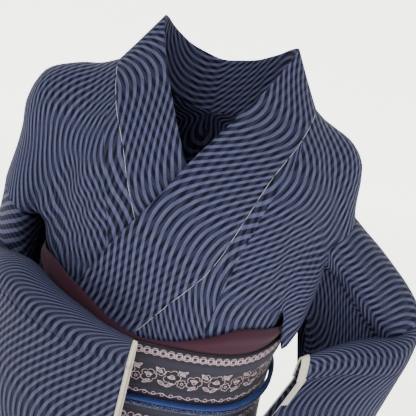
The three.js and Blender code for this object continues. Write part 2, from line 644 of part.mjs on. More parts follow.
// A body panel: front hem, front, shoulder, back, back hem, in one grid of rows.
function bodyGrid(side) {
  const layer = (p) => layerOf(side, p);
  const front = lowerRows(side, true, PANEL_COLUMNS, innerFront(side), outerFront(side));
  const back = lowerRows(side, false, PANEL_COLUMNS, innerBack(side), outerBack(side)).reverse();
  const chestFront = front[front.length - 1];
  const chestBack = back[0];

  // Inner edge: up the overlap seam, along the collar seam, then down the middle of the back.
  const seam = [];
  for (let z = CHEST; z < -60; z += 12) {
    const x = seamX(side, z);
    seam.push(outward(ringPoint(z, angleAtX(z, x), 0), layer(ringPoint(z, angleAtX(z, x), 0))));
  }
  const collar = collarLine(side, "Seam").slice(0, JUNCTION * COLLAR_STEPS + 1).reverse();
  const neck = collar.map((p) => onLayer(p, layer(p)));
  const nape = neck[neck.length - 1];
  nape[0] = (side * GAP) / 2;
  const spine = [];
  for (let z = nape[2]; z > CHEST; z -= 20) spine.push(ringPoint(z, side * 179.99, NEAR));
  spine[0] = nape;
  const top = neck.reduce((best, p, i) => (Math.abs(p[1] - 6) < Math.abs(neck[best][1] - 6) ? i : best), 0);
  const innerUp = evenly([chestFront[0], ...seam.slice(1), ...neck.slice(0, top + 1)], FRONT_UPPER + 1);
  const behind = evenly(neck.slice(top), NECK_ROWS + 1);
  const below = evenly([...spine, chestBack[0]], BACK_UPPER - NECK_ROWS + 1);
  const innerDown = [...behind, ...below.slice(1)];

  // Outer edge: up the slit, round the armhole, down the slit behind.
  const last = PANEL_COLUMNS;
  const slitFront = FRONT_UPPER - ARM_FRONT_ROWS;
  const slitBack = BACK_UPPER - ARM_BACK_ROWS;
  const holeFront = armhole(side, 1, ARM_FRONT_ROWS + 1).reverse();
  const holeBack = armhole(side, -1, ARM_BACK_ROWS + 1);
  const slit = (from, to, count) =>
    Array.from({ length: count }, (_, k) => onLayer(mixPoint(from, to, (k + 1) / (count + 1)), NEAR));
  const outerUp = [chestFront[last], ...slit(chestFront[last], holeFront[0], slitFront - 1), ...holeFront];
  const end = holeBack[holeBack.length - 1];
  const outerDown = [...holeBack, ...slit(end, chestBack[last], slitBack - 1), chestBack[last]];

  const inner = [...innerUp, ...innerDown.slice(1)];
  const outer = [...outerUp, ...outerDown.slice(1)];
  const rows = inner.length;
  const upper = inner.map((p, i) =>
    Array.from({ length: last + 1 }, (_, j) => {
      if (i === 0) return chestFront[j];
      if (i === rows - 1) return chestBack[j];
      if (j === 0) return p;
      if (j === last) return outer[i];
      const u = j / last;
      const v = i / (rows - 1);
      const sides = mixPoint(p, outer[i], u);
      const ends = mixPoint(chestFront[j], chestBack[j], v);
      const cornersFront = mixPoint(inner[0], outer[0], u);
      const cornersBack = mixPoint(inner[rows - 1], outer[rows - 1], u);
      const corners = mixPoint(cornersFront, cornersBack, v);
      const guess = add(add(sides, ends), corners, -1);
      const blend = mixPoint(guess, sides, 0.6);
      return outward(blend, layer(blend));
    }),
  );
  drape(upper, layer, 40);
  if (side > 0) hangOver(upper);
  return { grid: [...front.slice(0, -1), ...upper, ...back.slice(1)], frontRows: front.length };
}

// An overlap panel: it shares the body panel's front edge, row by row.
function okumiGrid(side, body) {
  const layer = (p) => layerOf(side, p);
  const collar = collarLine(side, "Seam");
  const edge = collar.slice(JUNCTION * COLLAR_STEPS).map((p) => onLayer(p, layer(p)));
  const lower = body.frontRows;
  const gaps = body.grid.map((row) => size(sub(row[0], edge[0])));
  const upperCount = gaps.indexOf(Math.min(...gaps)) - (lower - 1);
  const rows = lower + upperCount - 1;
  const edgeAbove = evenly(edge.filter((p) => p[2] > CHEST).reverse(), upperCount + 1);
  const grid = [];
  for (let i = 0; i < rows; i++) {
    const outer = body.grid[i][0];
    if (i >= lower - 1) {
      const inner = edgeAbove[i - lower + 1];
      grid.push(
        Array.from({ length: OKUMI_COLUMNS + 1 }, (_, j) => {
          const p = mixPoint(outer, inner, j / OKUMI_COLUMNS);
          return j === 0 ? outer : onLayer(p, layer(p));
        }),
      );
      continue;
    }
    const z = outer[2];
    const from = angleAtX(z, seamX(side, z));
    const underCollar = z > COLLAR_END;
    const key = side > 0 ? "left" : "right";
    const to = underCollar ? angleAtX(z, collarX(side, z)) : atHeight(FRONT_EDGES, key, z);
    const level = side > 0 ? rowLayer(side, SKIRT_ROWS[i], 0, true) : NEAR;
    grid.push(
      Array.from({ length: OKUMI_COLUMNS + 1 }, (_, j) =>
        ringPoint(z, mix(from, to, j / OKUMI_COLUMNS), level),
      ),
    );
  }
  return grid;
}

function collarX(side, z) {
  const line = collarLine(side, "Seam");
  const i = line.findIndex((p) => p[2] < z && p[1] < -50);
  const t = (line[i - 1][2] - z) / (line[i - 1][2] - line[i][2]);
  return mix(line[i - 1][0], line[i][0], t);
}

const bodies = { right: bodyGrid(-1), left: bodyGrid(1) };
const okumis = { right: okumiGrid(-1, bodies.right), left: okumiGrid(1, bodies.left) };

// The seam line that the collar shares with the panels of one side, from its end
// behind the belt up to the nape.
function collarSeam(key) {
  const body = bodies[key].grid;
  const okumi = okumis[key];
  const places = [];
  const column = OKUMI_COLUMNS;
  okumi.forEach((points, row) => {
    if (row <= TUCK_ROWS || points[0][2] < COLLAR_END - 1) return;
    places.push({ grid: okumi, row, column, next: column - 1 });
  });
  const nape = bodies[key].frontRows - 1 + FRONT_UPPER + NECK_ROWS;
  for (let row = okumi.length; row <= nape; row++) places.push({ grid: body, row, column: 0, next: 1 });
  return places;
}

// Place along COLLAR_LINES that lies nearest to a point of the seam.
function placeOnCollar(side, p) {
  const line = collarLine(side, "Seam");
  let best = 0;
  line.forEach((q, i) => {
    if (size(sub(p, q)) < size(sub(p, line[best]))) best = i;
  });
  const fit = (at) => size(sub(p, through(collarColumn(side, "Seam"), at)));
  let at = best / COLLAR_STEPS;
  for (let step = 0.1; step > 0.002; step /= 2) {
    if (fit(at + step) < fit(at)) at += step;
    else if (fit(at - step) < fit(at)) at -= step;
  }
  return clamp(at, 0, COLLAR_LINES.length - 1);
}

// The collar: a band that lies on the chest and stands round the neck.
function collarHalf(key) {
  const side = key === "left" ? 1 : -1;
  return collarSeam(key).map(({ grid, row, column }) => {
    const p = grid[row][column];
    const at = placeOnCollar(side, p);
    const edge = through(collarColumn(side, "Edge"), at);
    const lying = smooth(5, 6.6, at);
    return Array.from({ length: COLLAR_COLUMNS + 1 }, (_, j) => {
      const w = j / COLLAR_COLUMNS;
      const flat = mixPoint(p, edge, w);
      const raised = layerOf(side, flat) + (COLLAR_CLOTH - CLOTH) / 2;
      return mixPoint(flat, onLayer(flat, raised), lying);
    });
  });
}

// Sets two sheets back from the seam that they share, so that their walls just clear
// each other. The sharper the turn between the sheets, the further they go back.
function setBack(pairs, wall) {
  const moves = pairs.map(([a, b]) => {
    const beside = (e) => e.grid[e.row + (e.down ?? 0)][e.next];
    const into = [a, b].map((e) => unit(sub(beside(e), e.grid[e.row][e.column])));
    const turn = HALF_TURN - Math.acos(clamp(dot(into[0], into[1]), -1, 1));
    const distance = GAP / 2 + Math.min((wall / 2) * Math.tan(turn / 2), MOST_SET_BACK);
    return [a, b].map((e, i) => [e, add(e.grid[e.row][e.column], into[i], distance)]);
  });
  for (const [e, p] of moves.flat()) e.grid[e.row][e.column] = p;
}

// One loop of a sleeve at a place between its stations, from the bottom up the front
// layer, over the top fold and down the back layer.
function sleeveLoop(key, at, armholeLoop) {
  const row = {};
  for (const column of Object.keys(SLEEVES[key][0]))
    row[column] = through(SLEEVES[key].map((station) => station[column]), at);
  const count = ARM_FRONT_ROWS + ARM_BACK_ROWS + 1;
  const arc = Array.from({ length: count }, (_, i) => {
    const part = i < ARM_FRONT_ROWS ? 1 - i / ARM_FRONT_ROWS : -(i - ARM_FRONT_ROWS) / ARM_BACK_ROWS;
    return arcPoint(row, radians(row.arc) * part);
  });
  const keep = armholeLoop ? 1 - smooth(0, 1.3, at) : 0;
  if (keep > 0) arc.forEach((p, i) => (arc[i] = add(p, armholeLoop[i], keep)));
  const across = unit([row.sideX, row.sideY, 0]);
  const foot = [row.footX, row.footY, row.footZ];
  const sewn = smooth(SLEEVES[key].length - 2.2, SLEEVES[key].length - 1.4, at);
  const wall = (top, way) =>
    Array.from({ length: HANGING_ROWS }, (_, k) => {
      const w = (k + 1) / HANGING_ROWS;
      const drop = (top[2] - foot[2]) * w;
      const end = add(foot, across, (way * FOOT_SPACE) / 2);
      const bend = (w / SWAY_AT) * Math.exp(1 - w / SWAY_AT) * (1 - w ** 4);
      const toBody = way < 0 ? row.near : 0;
      const p = add(mixPoint(top, end, w), [row.swayX + toBody, row.swayY, 0], bend);
      const fold = mixPoint(arc[0], arc[count - 1], 0.5);
      const middle = add(mixPoint(fold, foot, w), [row.swayX, row.swayY, 0], bend);
      const shut = sewn * smooth(CUFF - 60, CUFF, drop + row.upZ);
      return mixPoint(p, add(middle, across, (way * SEWN_SPACE) / 2), shut);
    });
  const front = wall(arc[0], 1).reverse();
  const back = wall(arc[count - 1], -1);
  return [add(foot, [0, 0, -FOOT_SPACE / 2]), ...front, ...arc, ...back];
}

const armholeRow = (key) => bodies[key].frontRows - 1 + FRONT_UPPER - ARM_FRONT_ROWS;

function sleeveGrid(key) {
  const first = armholeRow(key);
  const plain = sleeveLoop(key, 0);
  const hole = Array.from({ length: ARM_FRONT_ROWS + ARM_BACK_ROWS + 1 }, (_, i) =>
    sub(bodies[key].grid[first + i][PANEL_COLUMNS], plain[1 + HANGING_ROWS + i]),
  );
  const last = SLEEVES[key].length - 1;
  return Array.from({ length: SLEEVE_STATIONS }, (_, i) => {
    const at = (last * i) / (SLEEVE_STATIONS - 1);
    return sleeveLoop(key, at, hole);
  });
}

// The lining that shows at a cuff: a strip inside the sleeve's open end that stands
// out past it.
function cuffLining(key, grid) {
  const last = grid.length - 1;
  const count = ARM_FRONT_ROWS + ARM_BACK_ROWS + 1;
  const reach = HANGING_ROWS - 4;
  const from = 1 + HANGING_ROWS - reach;
  const to = HANGING_ROWS + count + reach;
  const fold = HANGING_ROWS + 1 + ARM_FRONT_ROWS;
  const sign = grid[last][fold + 1][1] > grid[last][fold - 1][1] ? -1 : 1;
  const rows = [];
  for (const { at, out } of LINING_ROWS) {
    const line = grid[last + at];
    const row = [];
    for (let j = from; j <= to; j++) {
      const along = unit(sub(grid[last][j], grid[last - 1][j]));
      const inward = unit(cross(along, sub(line[j + 1], line[j - 1])));
      const inside = add(line[j], inward, sign * (CLOTH / 2 + GAP + LINING / 2));
      row.push(add(inside, along, out));
    }
    rows.push(row);
  }
  return rows;
}

// The belt rises sooner on the right side than on the left.
function beltTop(degrees) {
  const start = degrees < 0 ? 10 : 25;
  return OBI_TOP + OBI_RISE * smooth(start, start + 75, Math.abs(degrees));
}

const beltLevel = (degrees) => mix(OBI_INSIDE, OBI_INSIDE_BACK, smooth(66, 100, Math.abs(degrees)));

// The belt's wrap. It opens a little at its top, where the scarf is tucked in.
function obiGrid() {
  const opening = SCARF_CLOTH + GAP;
  const rows = [
    { down: 0, open: 1 },
    { down: SCARF_TUCKED, open: 1 },
    { down: SCARF_TUCKED + 16, open: 0 },
    { down: 75, open: 0 },
    { down: 115, open: 0 },
    { down: OBI_HEIGHT, open: 0 },
  ];
  return rows.map((row) =>
    Array.from({ length: OBI_COLUMNS }, (_, j) => {
      const degrees = -180 + (360 * j) / OBI_COLUMNS;
      const level = beltLevel(degrees) + row.open * opening + OBI_CLOTH / 2;
      return ringPoint(beltTop(degrees) - row.down, degrees, level);
    }),
  );
}

function scarfTop(degrees) {
  const i = clamp(SCARF_TOP.findIndex((row) => row.degrees > degrees) - 1, 0, SCARF_TOP.length - 2);
  const t = (degrees - SCARF_TOP[i].degrees) / (SCARF_TOP[i + 1].degrees - SCARF_TOP[i].degrees);
  return through(SCARF_TOP.map((row) => row.z), i + clamp(t, 0, 1));
}

// The scarf round the belt's top edge, swelling a little above it.
function scarfGrid() {
  const parts = [
    { up: 1, out: 0 },
    { up: 0.8, out: 2.2 },
    { up: 0.4, out: 3 },
    { up: 0, out: 0 },
  ];
  return [...parts, { up: -1, out: 0 }].map((part) =>
    Array.from({ length: OBI_COLUMNS }, (_, j) => {
      const degrees = -180 + (360 * j) / OBI_COLUMNS;
      const top = beltTop(degrees);
      const height = scarfTop(degrees) - top - 1;
      const z = part.up < 0 ? top - SCARF_TUCKED + 2 : top + 1 + height * part.up;
      const swell = part.out * clamp(height / 20, 0.2, 1);
      return ringPoint(z, degrees, beltLevel(degrees) + SCARF_CLOTH / 2 + swell);
    }),
  );
}

// The cord lies on the belt in front and passes over the hand end behind.
function cordPath() {
  const sideZ = beltTop(90) - OBI_HEIGHT / 2;
  const front = Array.from({ length: 19 }, (_, i) => {
    const degrees = -90 + i * 10;
    const z = beltTop(degrees) - OBI_HEIGHT / 2;
    return ringPoint(z, degrees, beltLevel(degrees) + OBI_CLOTH + 3 * GAP + CORD_DEPTH / 2);
  });
  const behind = CORD_BACK.map((row) => [row.x, handY + row.y, sideZ]);
  const mirrored = [...behind].reverse().slice(1).map(([x, y, z]) => [-x, y, z]);
  behind[0][0] -= CORD_SLIMMER;
  return [...front, ...behind, ...mirrored];
}

function cordGrid() {
  const path = cordPath();
  const count = path.length;
  const along = path.map((_, j) => unit(sub(path[(j + 1) % count], path[(j + count - 1) % count])));
  return Array.from({ length: CORD_SIDES }, (_, k) => {
    const angle = (2 * HALF_TURN * k) / CORD_SIDES;
    return path.map((middle, j) => {
      const out = unit(cross(along[j], [0, 0, 1]));
      const high = (CORD_HEIGHT / 2) * Math.sin(angle);
      return add(add(middle, out, (CORD_DEPTH / 2) * Math.cos(angle)), [0, 0, high]);
    });
  });
}

// A closed tube whose rows are its long lines, joined round in both directions.
function torus(grid) {
  const rows = grid.length;
  const columns = grid[0].length;
  const positions = grid.flat(2);
  const index = [];
  for (let i = 0; i < rows; i++)
    for (let j = 0; j < columns; j++) {
      const a = i * columns + j;
      const b = i * columns + ((j + 1) % columns);
      const c = ((i + 1) % rows) * columns + ((j + 1) % columns);
      const d = ((i + 1) % rows) * columns + j;
      index.push(a, b, c, a, c, d);
    }
  return solid(positions, index);
}

// The cord's flat knot: a rounded block that sits on the belt over the cord.
function knotGeometry() {
  const geometry = new THREE.SphereGeometry(1, 12, 8);
  const path = cordPath();
  const middle = path[KNOT_AT];
  const along = unit(sub(path[KNOT_AT - 1], path[KNOT_AT + 1]));
  const out = unit(cross([0, 0, 1], along));
  const basis = new THREE.Matrix4().makeBasis(
    new THREE.Vector3(...along.map((v) => v * KNOT_HALF)),
    new THREE.Vector3(...out.map((v) => v * KNOT_DEPTH)),
    new THREE.Vector3(0, 0, KNOT_TALL),
  );
  const place = add(middle, out, CORD_DEPTH / 2 + GAP + KNOT_DEPTH + 0.1);
  geometry.applyMatrix4(basis.setPosition(...place));
  return geometry;
}

// A piece behind the belt: a profile of rows, each with its own or the same half width.
function backGrid(profile, y, half, columns) {
  return profile.map((row) =>
    Array.from({ length: columns + 1 }, (_, j) => {
      const x = (row.half ?? half) * (-1 + (2 * j) / columns);
      return [x, BACK_FACE + y + row.y - BOW * x ** 2, row.z];
    }),
  );
}

const NAVY = 0x3c405c;
const garment = new THREE.Group();

function place(name, geometry, color, roughness = 0.85) {
  const material = new THREE.MeshStandardMaterial({ color, roughness, metalness: 0 });
  const mesh = new THREE.Mesh(geometry, material);
  mesh.name = name;
  garment.add(mesh);
}

// The collar is one band: the right half, then the left half from the nape down.
const halves = { right: collarHalf("right"), left: collarHalf("left") };
const sleeves = { right: sleeveGrid("right"), left: sleeveGrid("left") };
for (const key of ["right", "left"]) {
  const body = bodies[key].grid;
  const okumi = okumis[key];
  const onCollar = (row) => ({ grid: halves[key], row, column: 0, next: 1 });
  const collarPairs = collarSeam(key).map((e, i) => [e, onCollar(i)]);
  const okumiPairs = okumi.map((_, i) => [
    { grid: body, row: i, column: 0, next: 1 },
    { grid: okumi, row: i, column: 0, next: 1 },
  ]);
  const first = armholeRow(key);
  const holePairs = Array.from({ length: ARM_FRONT_ROWS + ARM_BACK_ROWS + 1 }, (_, i) => {
    const column = 1 + HANGING_ROWS + i;
    return [
      { grid: body, row: first + i, column: PANEL_COLUMNS, next: PANEL_COLUMNS - 1 },
      { grid: sleeves[key], row: 0, column, next: column, down: 1 },
    ];
  });
  setBack(collarPairs, COLLAR_CLOTH);
  setBack(okumiPairs, CLOTH);
  setBack(holePairs, CLOTH);
}
for (const key of ["right", "left"]) {
  pullBack(bodies[key].grid, GAP / 2);
  place("body_" + key, sheet(bodies[key].grid, CLOTH), NAVY);
  place("okumi_" + key, sheet(okumis[key], CLOTH), NAVY);
  place("sleeve_" + key, sheet(sleeves[key], CLOTH, true), NAVY);
  place("cuff_lining_" + key, sheet(cuffLining(key, sleeves[key]), LINING), 0xd7d4be, 0.7);
}
const leftHalf = [...halves.left].reverse();
place("collar", sheet([...halves.right.slice(0, -1), ...leftHalf], COLLAR_CLOTH), NAVY);

const OBI_COLOUR = 0x424254;
place("obi", sheet(obiGrid(), OBI_CLOTH, true), OBI_COLOUR, 0.6);
place("obiage", sheet(scarfGrid(), SCARF_CLOTH, true), 0x5f3246, 0.7);
place("obijime", torus(cordGrid()), 0x1e46a0, 0.5);
place("obijime_knot", knotGeometry(), 0x1e46a0, 0.5);
const drumY = SCARF_CLOTH + 2 * GAP + OBI_CLOTH / 2;
place("obi_drum", sheet(backGrid(DRUM, drumY, 0, DRUM_COLUMNS), OBI_CLOTH), OBI_COLOUR, 0.6);
place("obi_hand", sheet(backGrid(HAND, 0, HAND_HALF, DRUM_COLUMNS), OBI_CLOTH), OBI_COLOUR, 0.6);
place("obi_tail", sheet(backGrid(TAIL, 0, TAIL_HALF, DRUM_COLUMNS), OBI_CLOTH), OBI_COLOUR, 0.6);

export default garment;
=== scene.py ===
# %% [markdown]
# # A kimono worn with its belt
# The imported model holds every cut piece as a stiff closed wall. Here each piece gets its
# looks: a thin shell of cloth on the same form, with its weave, its creases and its
# threads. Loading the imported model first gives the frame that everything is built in.

# %% Load the frame
import math
import bpy
import numpy as np
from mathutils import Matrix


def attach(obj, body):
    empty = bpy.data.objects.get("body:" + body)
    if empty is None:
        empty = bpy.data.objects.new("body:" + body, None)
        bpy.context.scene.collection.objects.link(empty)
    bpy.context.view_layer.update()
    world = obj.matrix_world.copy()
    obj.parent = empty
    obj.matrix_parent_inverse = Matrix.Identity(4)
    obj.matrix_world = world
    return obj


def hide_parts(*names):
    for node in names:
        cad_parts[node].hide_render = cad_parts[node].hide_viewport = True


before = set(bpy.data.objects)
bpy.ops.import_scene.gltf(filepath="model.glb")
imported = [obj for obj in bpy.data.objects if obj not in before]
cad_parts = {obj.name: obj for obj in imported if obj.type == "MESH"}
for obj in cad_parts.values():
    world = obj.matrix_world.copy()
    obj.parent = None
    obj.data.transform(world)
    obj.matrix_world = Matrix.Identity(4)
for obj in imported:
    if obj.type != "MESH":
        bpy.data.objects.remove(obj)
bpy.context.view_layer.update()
print("pieces in the frame:", len(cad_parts))

# %% [markdown]
# The picture is taken from a little above the chest, and the camera is turned about its
# own axis. A camera is placed here: three directions give its matrix, so the
# tilt is as easy to set as the height.

# %% Camera
UP = np.array([0, 0, 1.0])
AZIMUTH, ELEVATION, ROLL = math.radians(-4.4), math.radians(18), math.radians(14.7)
TARGET = np.array([18.0, -50.0, -153.0]) / 1000
DISTANCE, FOCAL_PIXELS, PICTURE = 0.85, 746, 416


def unit(vectors):
    return vectors / np.maximum(np.linalg.norm(vectors, axis=-1, keepdims=True), 1e-9)


def add_camera():
    """Right, up and back are the first three columns of a camera's matrix."""
    level = math.cos(ELEVATION)
    back = np.array([math.sin(AZIMUTH) * level, -math.cos(AZIMUTH) * level, math.sin(ELEVATION)])
    right = unit(np.cross(-back, UP))
    up = np.cross(right, -back)
    c, s = math.cos(ROLL), math.sin(ROLL)
    columns = right * c + up * s, up * c - right * s, back, TARGET + back * DISTANCE
    data = bpy.data.cameras.new("camera")
    data.angle = 2 * math.atan(PICTURE / 2 / FOCAL_PIXELS)
    camera = bpy.data.objects.new("camera", data)
    bpy.context.scene.collection.objects.link(camera)
    for i in range(3):
        for j, column in enumerate(columns):
            camera.matrix_world[i][j] = column[i]
    bpy.context.scene.camera = camera
    print("camera stands at", [round(float(v), 3) for v in columns[3]])


add_camera()

# %% [markdown]
# A studio for clothes is a pale room with large soft lamps. The floor lies far below the
# hem, the backdrop stands behind, and three area lamps give a soft light from the front
# with a little more from the left.

# %% Floor, backdrop and light
GLOW = 2.6  # the panels glow a little, as a lit studio wall does in a photograph
PALE = (0.9, 0.9, 0.87, 1)
FLOOR = -1.42


def plain_panel(name, corners):
    mesh = bpy.data.meshes.new(name)
    mesh.from_pydata(corners, [], [(0, 1, 2, 3)])
    panel = bpy.data.objects.new(name, mesh)
    bpy.context.scene.collection.objects.link(panel)
    paint = bpy.data.materials.new(name)
    paint.use_nodes = True
    shader = paint.node_tree.nodes["Principled BSDF"]
    shader.inputs["Base Color"].default_value = PALE
    shader.inputs["Roughness"].default_value = 0.9
    shader.inputs["Emission Color"].default_value = PALE
    shader.inputs["Emission Strength"].default_value = GLOW
    mesh.materials.append(paint)


plain_panel("floor", [(-9, -9, FLOOR), (9, -9, FLOOR), (9, 5, FLOOR), (-9, 5, FLOOR)])
plain_panel("backdrop", [(-9, 5, FLOOR), (9, 5, FLOOR), (9, 5, 5), (-9, 5, 5)])


def area_lamp(name, place, aim, size, power):
    data = bpy.data.lights.new(name, "AREA")
    data.shape, data.size, data.energy = "DISK", size, power
    lamp = bpy.data.objects.new(name, data)
    bpy.context.scene.collection.objects.link(lamp)
    lamp.location = place
    direction = np.array(aim) - np.array(place)
    lamp.rotation_euler = (math.acos(-direction[2] / np.linalg.norm(direction)), 0,
                           math.atan2(-direction[0], direction[1]))


area_lamp("key_lamp", (-1.3, -2.2, 1.5), (0, 0, -0.3), 1.8, 62)
area_lamp("fill_lamp", (1.8, -1.6, 0.6), (0, 0, -0.3), 2.2, 26)
area_lamp("top_lamp", (0.3, 0.6, 2.2), (0, 0, -0.2), 1.6, 30)
world = bpy.data.worlds.new("room")
bpy.context.scene.world = world
world.use_nodes = True
world.node_tree.nodes["Background"].inputs["Color"].default_value = (0.92, 0.93, 0.92, 1)
world.node_tree.nodes["Background"].inputs["Strength"].default_value = 0.75

# %% [markdown]
# A woven pattern is arithmetic on the cloth's own coordinates. Wiring Math nodes by hand
# is slow to read, so one small class wraps a socket and lets Python's operators add the
# nodes. Colours and vectors go through Mix and Vector Math instead.

# %% Shader arithmetic
class Value:
    """A socket that Python's operators can work on. What they add goes into its tree."""
    def __init__(self, tree, socket):
        self.tree, self.socket = tree, socket

    def node(self, kind, settings, inputs, output=0):
        """Any other node: its type and settings, then values or links for its sockets."""
        made = self.tree.nodes.new(kind)
        for key, value in settings.items():
            setattr(made, key, value)
        for key, value in inputs.items():
            connect(value, made.inputs[key])
        return Value(self.tree, made.outputs[output])

    def math(self, operation, *others):
        return self.node("ShaderNodeMath", {"operation": operation}, dict(enumerate((self, *others))))

    def __add__(self, other): return self.math("ADD", other)
    def __radd__(self, other): return self.math("ADD", other)
    def __sub__(self, other): return self.math("SUBTRACT", other)
    def __rsub__(self, other): return (self * -1).math("ADD", other)
    def __mul__(self, other): return self.math("MULTIPLY", other)
    def __rmul__(self, other): return self.math("MULTIPLY", other)
    def __truediv__(self, other): return self.math("DIVIDE", other)
    def __pow__(self, other): return self.math("POWER", other)
    def __abs__(self): return self.math("ABSOLUTE")
    def sine(self): return self.math("SINE")
    def cosine(self): return self.math("COSINE")
    def fraction(self): return self.math("FRACT")
    def smaller(self, other): return self.math("MINIMUM", other)

    def ramp(self, low, high):
        """0 at low and 1 at high, with soft ends."""
        return self.node("ShaderNodeMapRange", {"interpolation_type": "SMOOTHSTEP"},
                         {"Value": self, "From Min": low, "From Max": high})

    def noise(self, scale, detail):
        inputs = {"Vector": self, "Scale": scale, "Detail": detail}
        return self.node("ShaderNodeTexNoise", {}, inputs, "Fac")

    def mix(self, factor, a, b):
        return self.node("ShaderNodeMix", {"data_type": "RGBA"}, {0: factor, 6: a, 7: b}, 2)


def connect(value, socket):
    if isinstance(value, Value):
        value.tree.links.new(value.socket, socket)
    else:
        socket.default_value = value


def dye(red, green, blue):
    """A colour as the eye sees it, from 0 to 255, as the linear values that a shader takes."""
    linear = [(v / 255 / 12.92) if v < 10.3 else ((v / 255 + 0.055) / 1.055) ** 2.4
              for v in (red, green, blue)]
    return (*linear, 1)


print("navy in linear light:", [round(v, 3) for v in dye(60, 64, 92)])

# %% [markdown]
# Every cloth here starts the same way: it reads where it lies on the bolt from an
# attribute of the mesh, U across the width and V along the length, in millimetres. Then
# it gets a colour, a height for the bump, and a roughness.

# %% A material for cloth
BUMP_LIFT = 0.0006  # metres


def start_cloth(name):
    material = bpy.data.materials.new(name)
    material.use_nodes = True
    tree = material.node_tree
    lies = tree.nodes.new("ShaderNodeAttribute")
    lies.attribute_name = "cloth"
    place = Value(tree, lies.outputs["Vector"])
    across, along = (place.node("ShaderNodeSeparateXYZ", {}, {0: place}, axis) for axis in (0, 1))
    return material, across, along, place


def finish_cloth(material, colour, height, roughness, bump, sheen=0.0):
    shader = material.node_tree.nodes["Principled BSDF"]
    connect(colour, shader.inputs["Base Color"])
    connect(roughness, shader.inputs["Roughness"])
    connect(sheen, shader.inputs["Sheen Weight"])
    connect(0.5, shader.inputs["Sheen Roughness"])
    connect(0.12, shader.inputs["Specular IOR Level"])
    made = height.node("ShaderNodeBump", {}, {"Height": height, "Strength": bump, "Distance": BUMP_LIFT})
    connect(made, shader.inputs["Normal"])
    return material


def weave(across, along, pitch):
    return (across * pitch).sine() * (along * pitch).sine()


print("relief of a cloth:", BUMP_LIFT * 1000, "mm at most")

# %% [markdown]
# The kimono's cloth has light lines that waver from side to side as they run along the
# bolt, over straight stripes of two navies. Where a line runs straight it hides them, and
# where it swings across they show as short dark dashes. A sine of V moves the lines, and
# a second, unmoved pattern gives the stripes.

# %% The wavy striped cloth
LINE_PITCH = 9.0      # between two light lines
WAVE_LENGTH = 300.0   # of one full swing along the bolt
SWING = 43.0          # how far a line swings to each side
LIGHT, MIDDLE, DARK = dye(74, 77, 106), dye(34, 36, 54), dye(12, 14, 25)


def striped_cloth(name, start, lean, tilt, bow=0.0, depth=0.0):
    """start is where a swing begins along the bolt, lean how far the bolt's threads slant,
    tilt how far the swings slant, bow a slant that turns at the middle, depth a painted
    shade: how far the cloth is darkened towards the dark navy where less light falls on it."""
    material, across, along, place = start_cloth(name)
    turn = 2 * math.pi / WAVE_LENGTH
    straight = across + along * lean + abs(along) * bow
    wobble = (place.noise(0.35, 1.0) - 0.5) * 1.1
    moved = straight + ((along - across * tilt - start) * turn).sine() * SWING + wobble
    from_line = abs((moved / LINE_PITCH).fraction() - 0.5) * 2
    stripes = abs(((straight + wobble * 0.4) / LINE_PITCH).fraction() - 0.5) * 2
    crinkle = place.noise(0.9, 2.0)
    line = 1 - (from_line + (crinkle - 0.5) * 0.22).ramp(0.34, 0.52)
    dark = (stripes + (crinkle - 0.5) * 0.25).ramp(0.42, 0.6)
    thread = place.noise(2.4, 1.0)
    light = place.mix(dark * 0.3 + thread * 0.25, LIGHT, MIDDLE)
    colour = place.mix(line, place.mix(dark, MIDDLE, DARK), light)
    # painted shade: depth darkens the cloth towards the dark navy for dimmer light; the sleeves are the
    # same cloth as the body
    colour = place.mix(depth, colour, DARK)
    height = line * 0.9 + crinkle * 0.5 + thread * 0.35
    return finish_cloth(material, colour, height, 0.9 - line * 0.12, 0.55)


SWINGS = {
    "body_right": dict(start=251, lean=0.22, tilt=0.38),
    "okumi_right": dict(start=178, lean=-0.45, tilt=0.24),
    # depth here is painted shade, for the dimmer light on the right sleeve
    "sleeve_right": dict(start=95, lean=0.1, tilt=-0.05, depth=0.22),
    "body_left": dict(start=243, lean=-0.14, tilt=0.43),
    "okumi_left": dict(start=177, lean=-0.2, tilt=-0.1),
    # depth here is painted shade, for the dimmer light on the left sleeve
    "sleeve_left": dict(start=190, lean=-0.3, tilt=-0.1, depth=0.12),
    "collar": dict(start=165, lean=0.11, tilt=0.15, bow=-0.23),
}
stripes_of = {name: striped_cloth("stripes_" + name, **row) for name, row in SWINGS.items()}
print("striped cloths:", len(stripes_of))

# %% [markdown]
# The form under the cloth is a general figure: rounded square rings for the trunk and
# soft capsules for the shoulders. Each layer of cloth is a level of the distance from
# it. Numpy works on all points of a piece at once, which keeps this quick.

# %% Tables of the form
CLOTH, COLLAR_CLOTH, GAP = 1.6, 2.4, 0.3
OBI_TOP, OBI_RISE, OBI_HEIGHT, OBI_CLOTH = -293, 28, 150, 3.5
HEM, CHEST = -1330, -250
NEAR, STEP, FAR, LEFT_SKIRT = 0.8, 1.9, 5.7, 4
OBI_INSIDE, OBI_INSIDE_BACK = 7.9, 2.6
SQUARE = 2.5
RINGS = np.array([  # z, width to the right and to the left, depth in front and behind
    (-1330, 150, 150, 118, 118), (-900, 165, 165, 120, 125), (-640, 175, 175, 126, 128),
    (-520, 165, 162, 125, 118), (-450, 152, 145, 120, 106), (-370, 145, 136, 119, 100),
    (-290, 148, 138, 121, 100), (-200, 154, 151, 119, 100), (-118, 153, 153, 106, 94),
    (-60, 140, 140, 80, 76), (-20, 104, 104, 46, 46), (0, 60, 60, 20, 22)], float)
LIMBS = [  # one end, the other end, their radii, depth of the far end, softness
    ((-48, 14, -44), (-163, 10, -90), 44, 43, 1, 28),
    ((48, 14, -44), (143, 10, -91), 43, 40, 1, 28),
    ((-163, 10, -90), (-198, 12, -215), 43, 27, 2.1, 28),
    ((143, 10, -91), (181, 12, -180), 40, 28, 1.9, 28),
    ((-143, -24, -100), (-149, -28, -196), 14, 22, 1, 12),
    ((136, -40, -105), (147, -44, -206), 15, 20, 1, 12)]
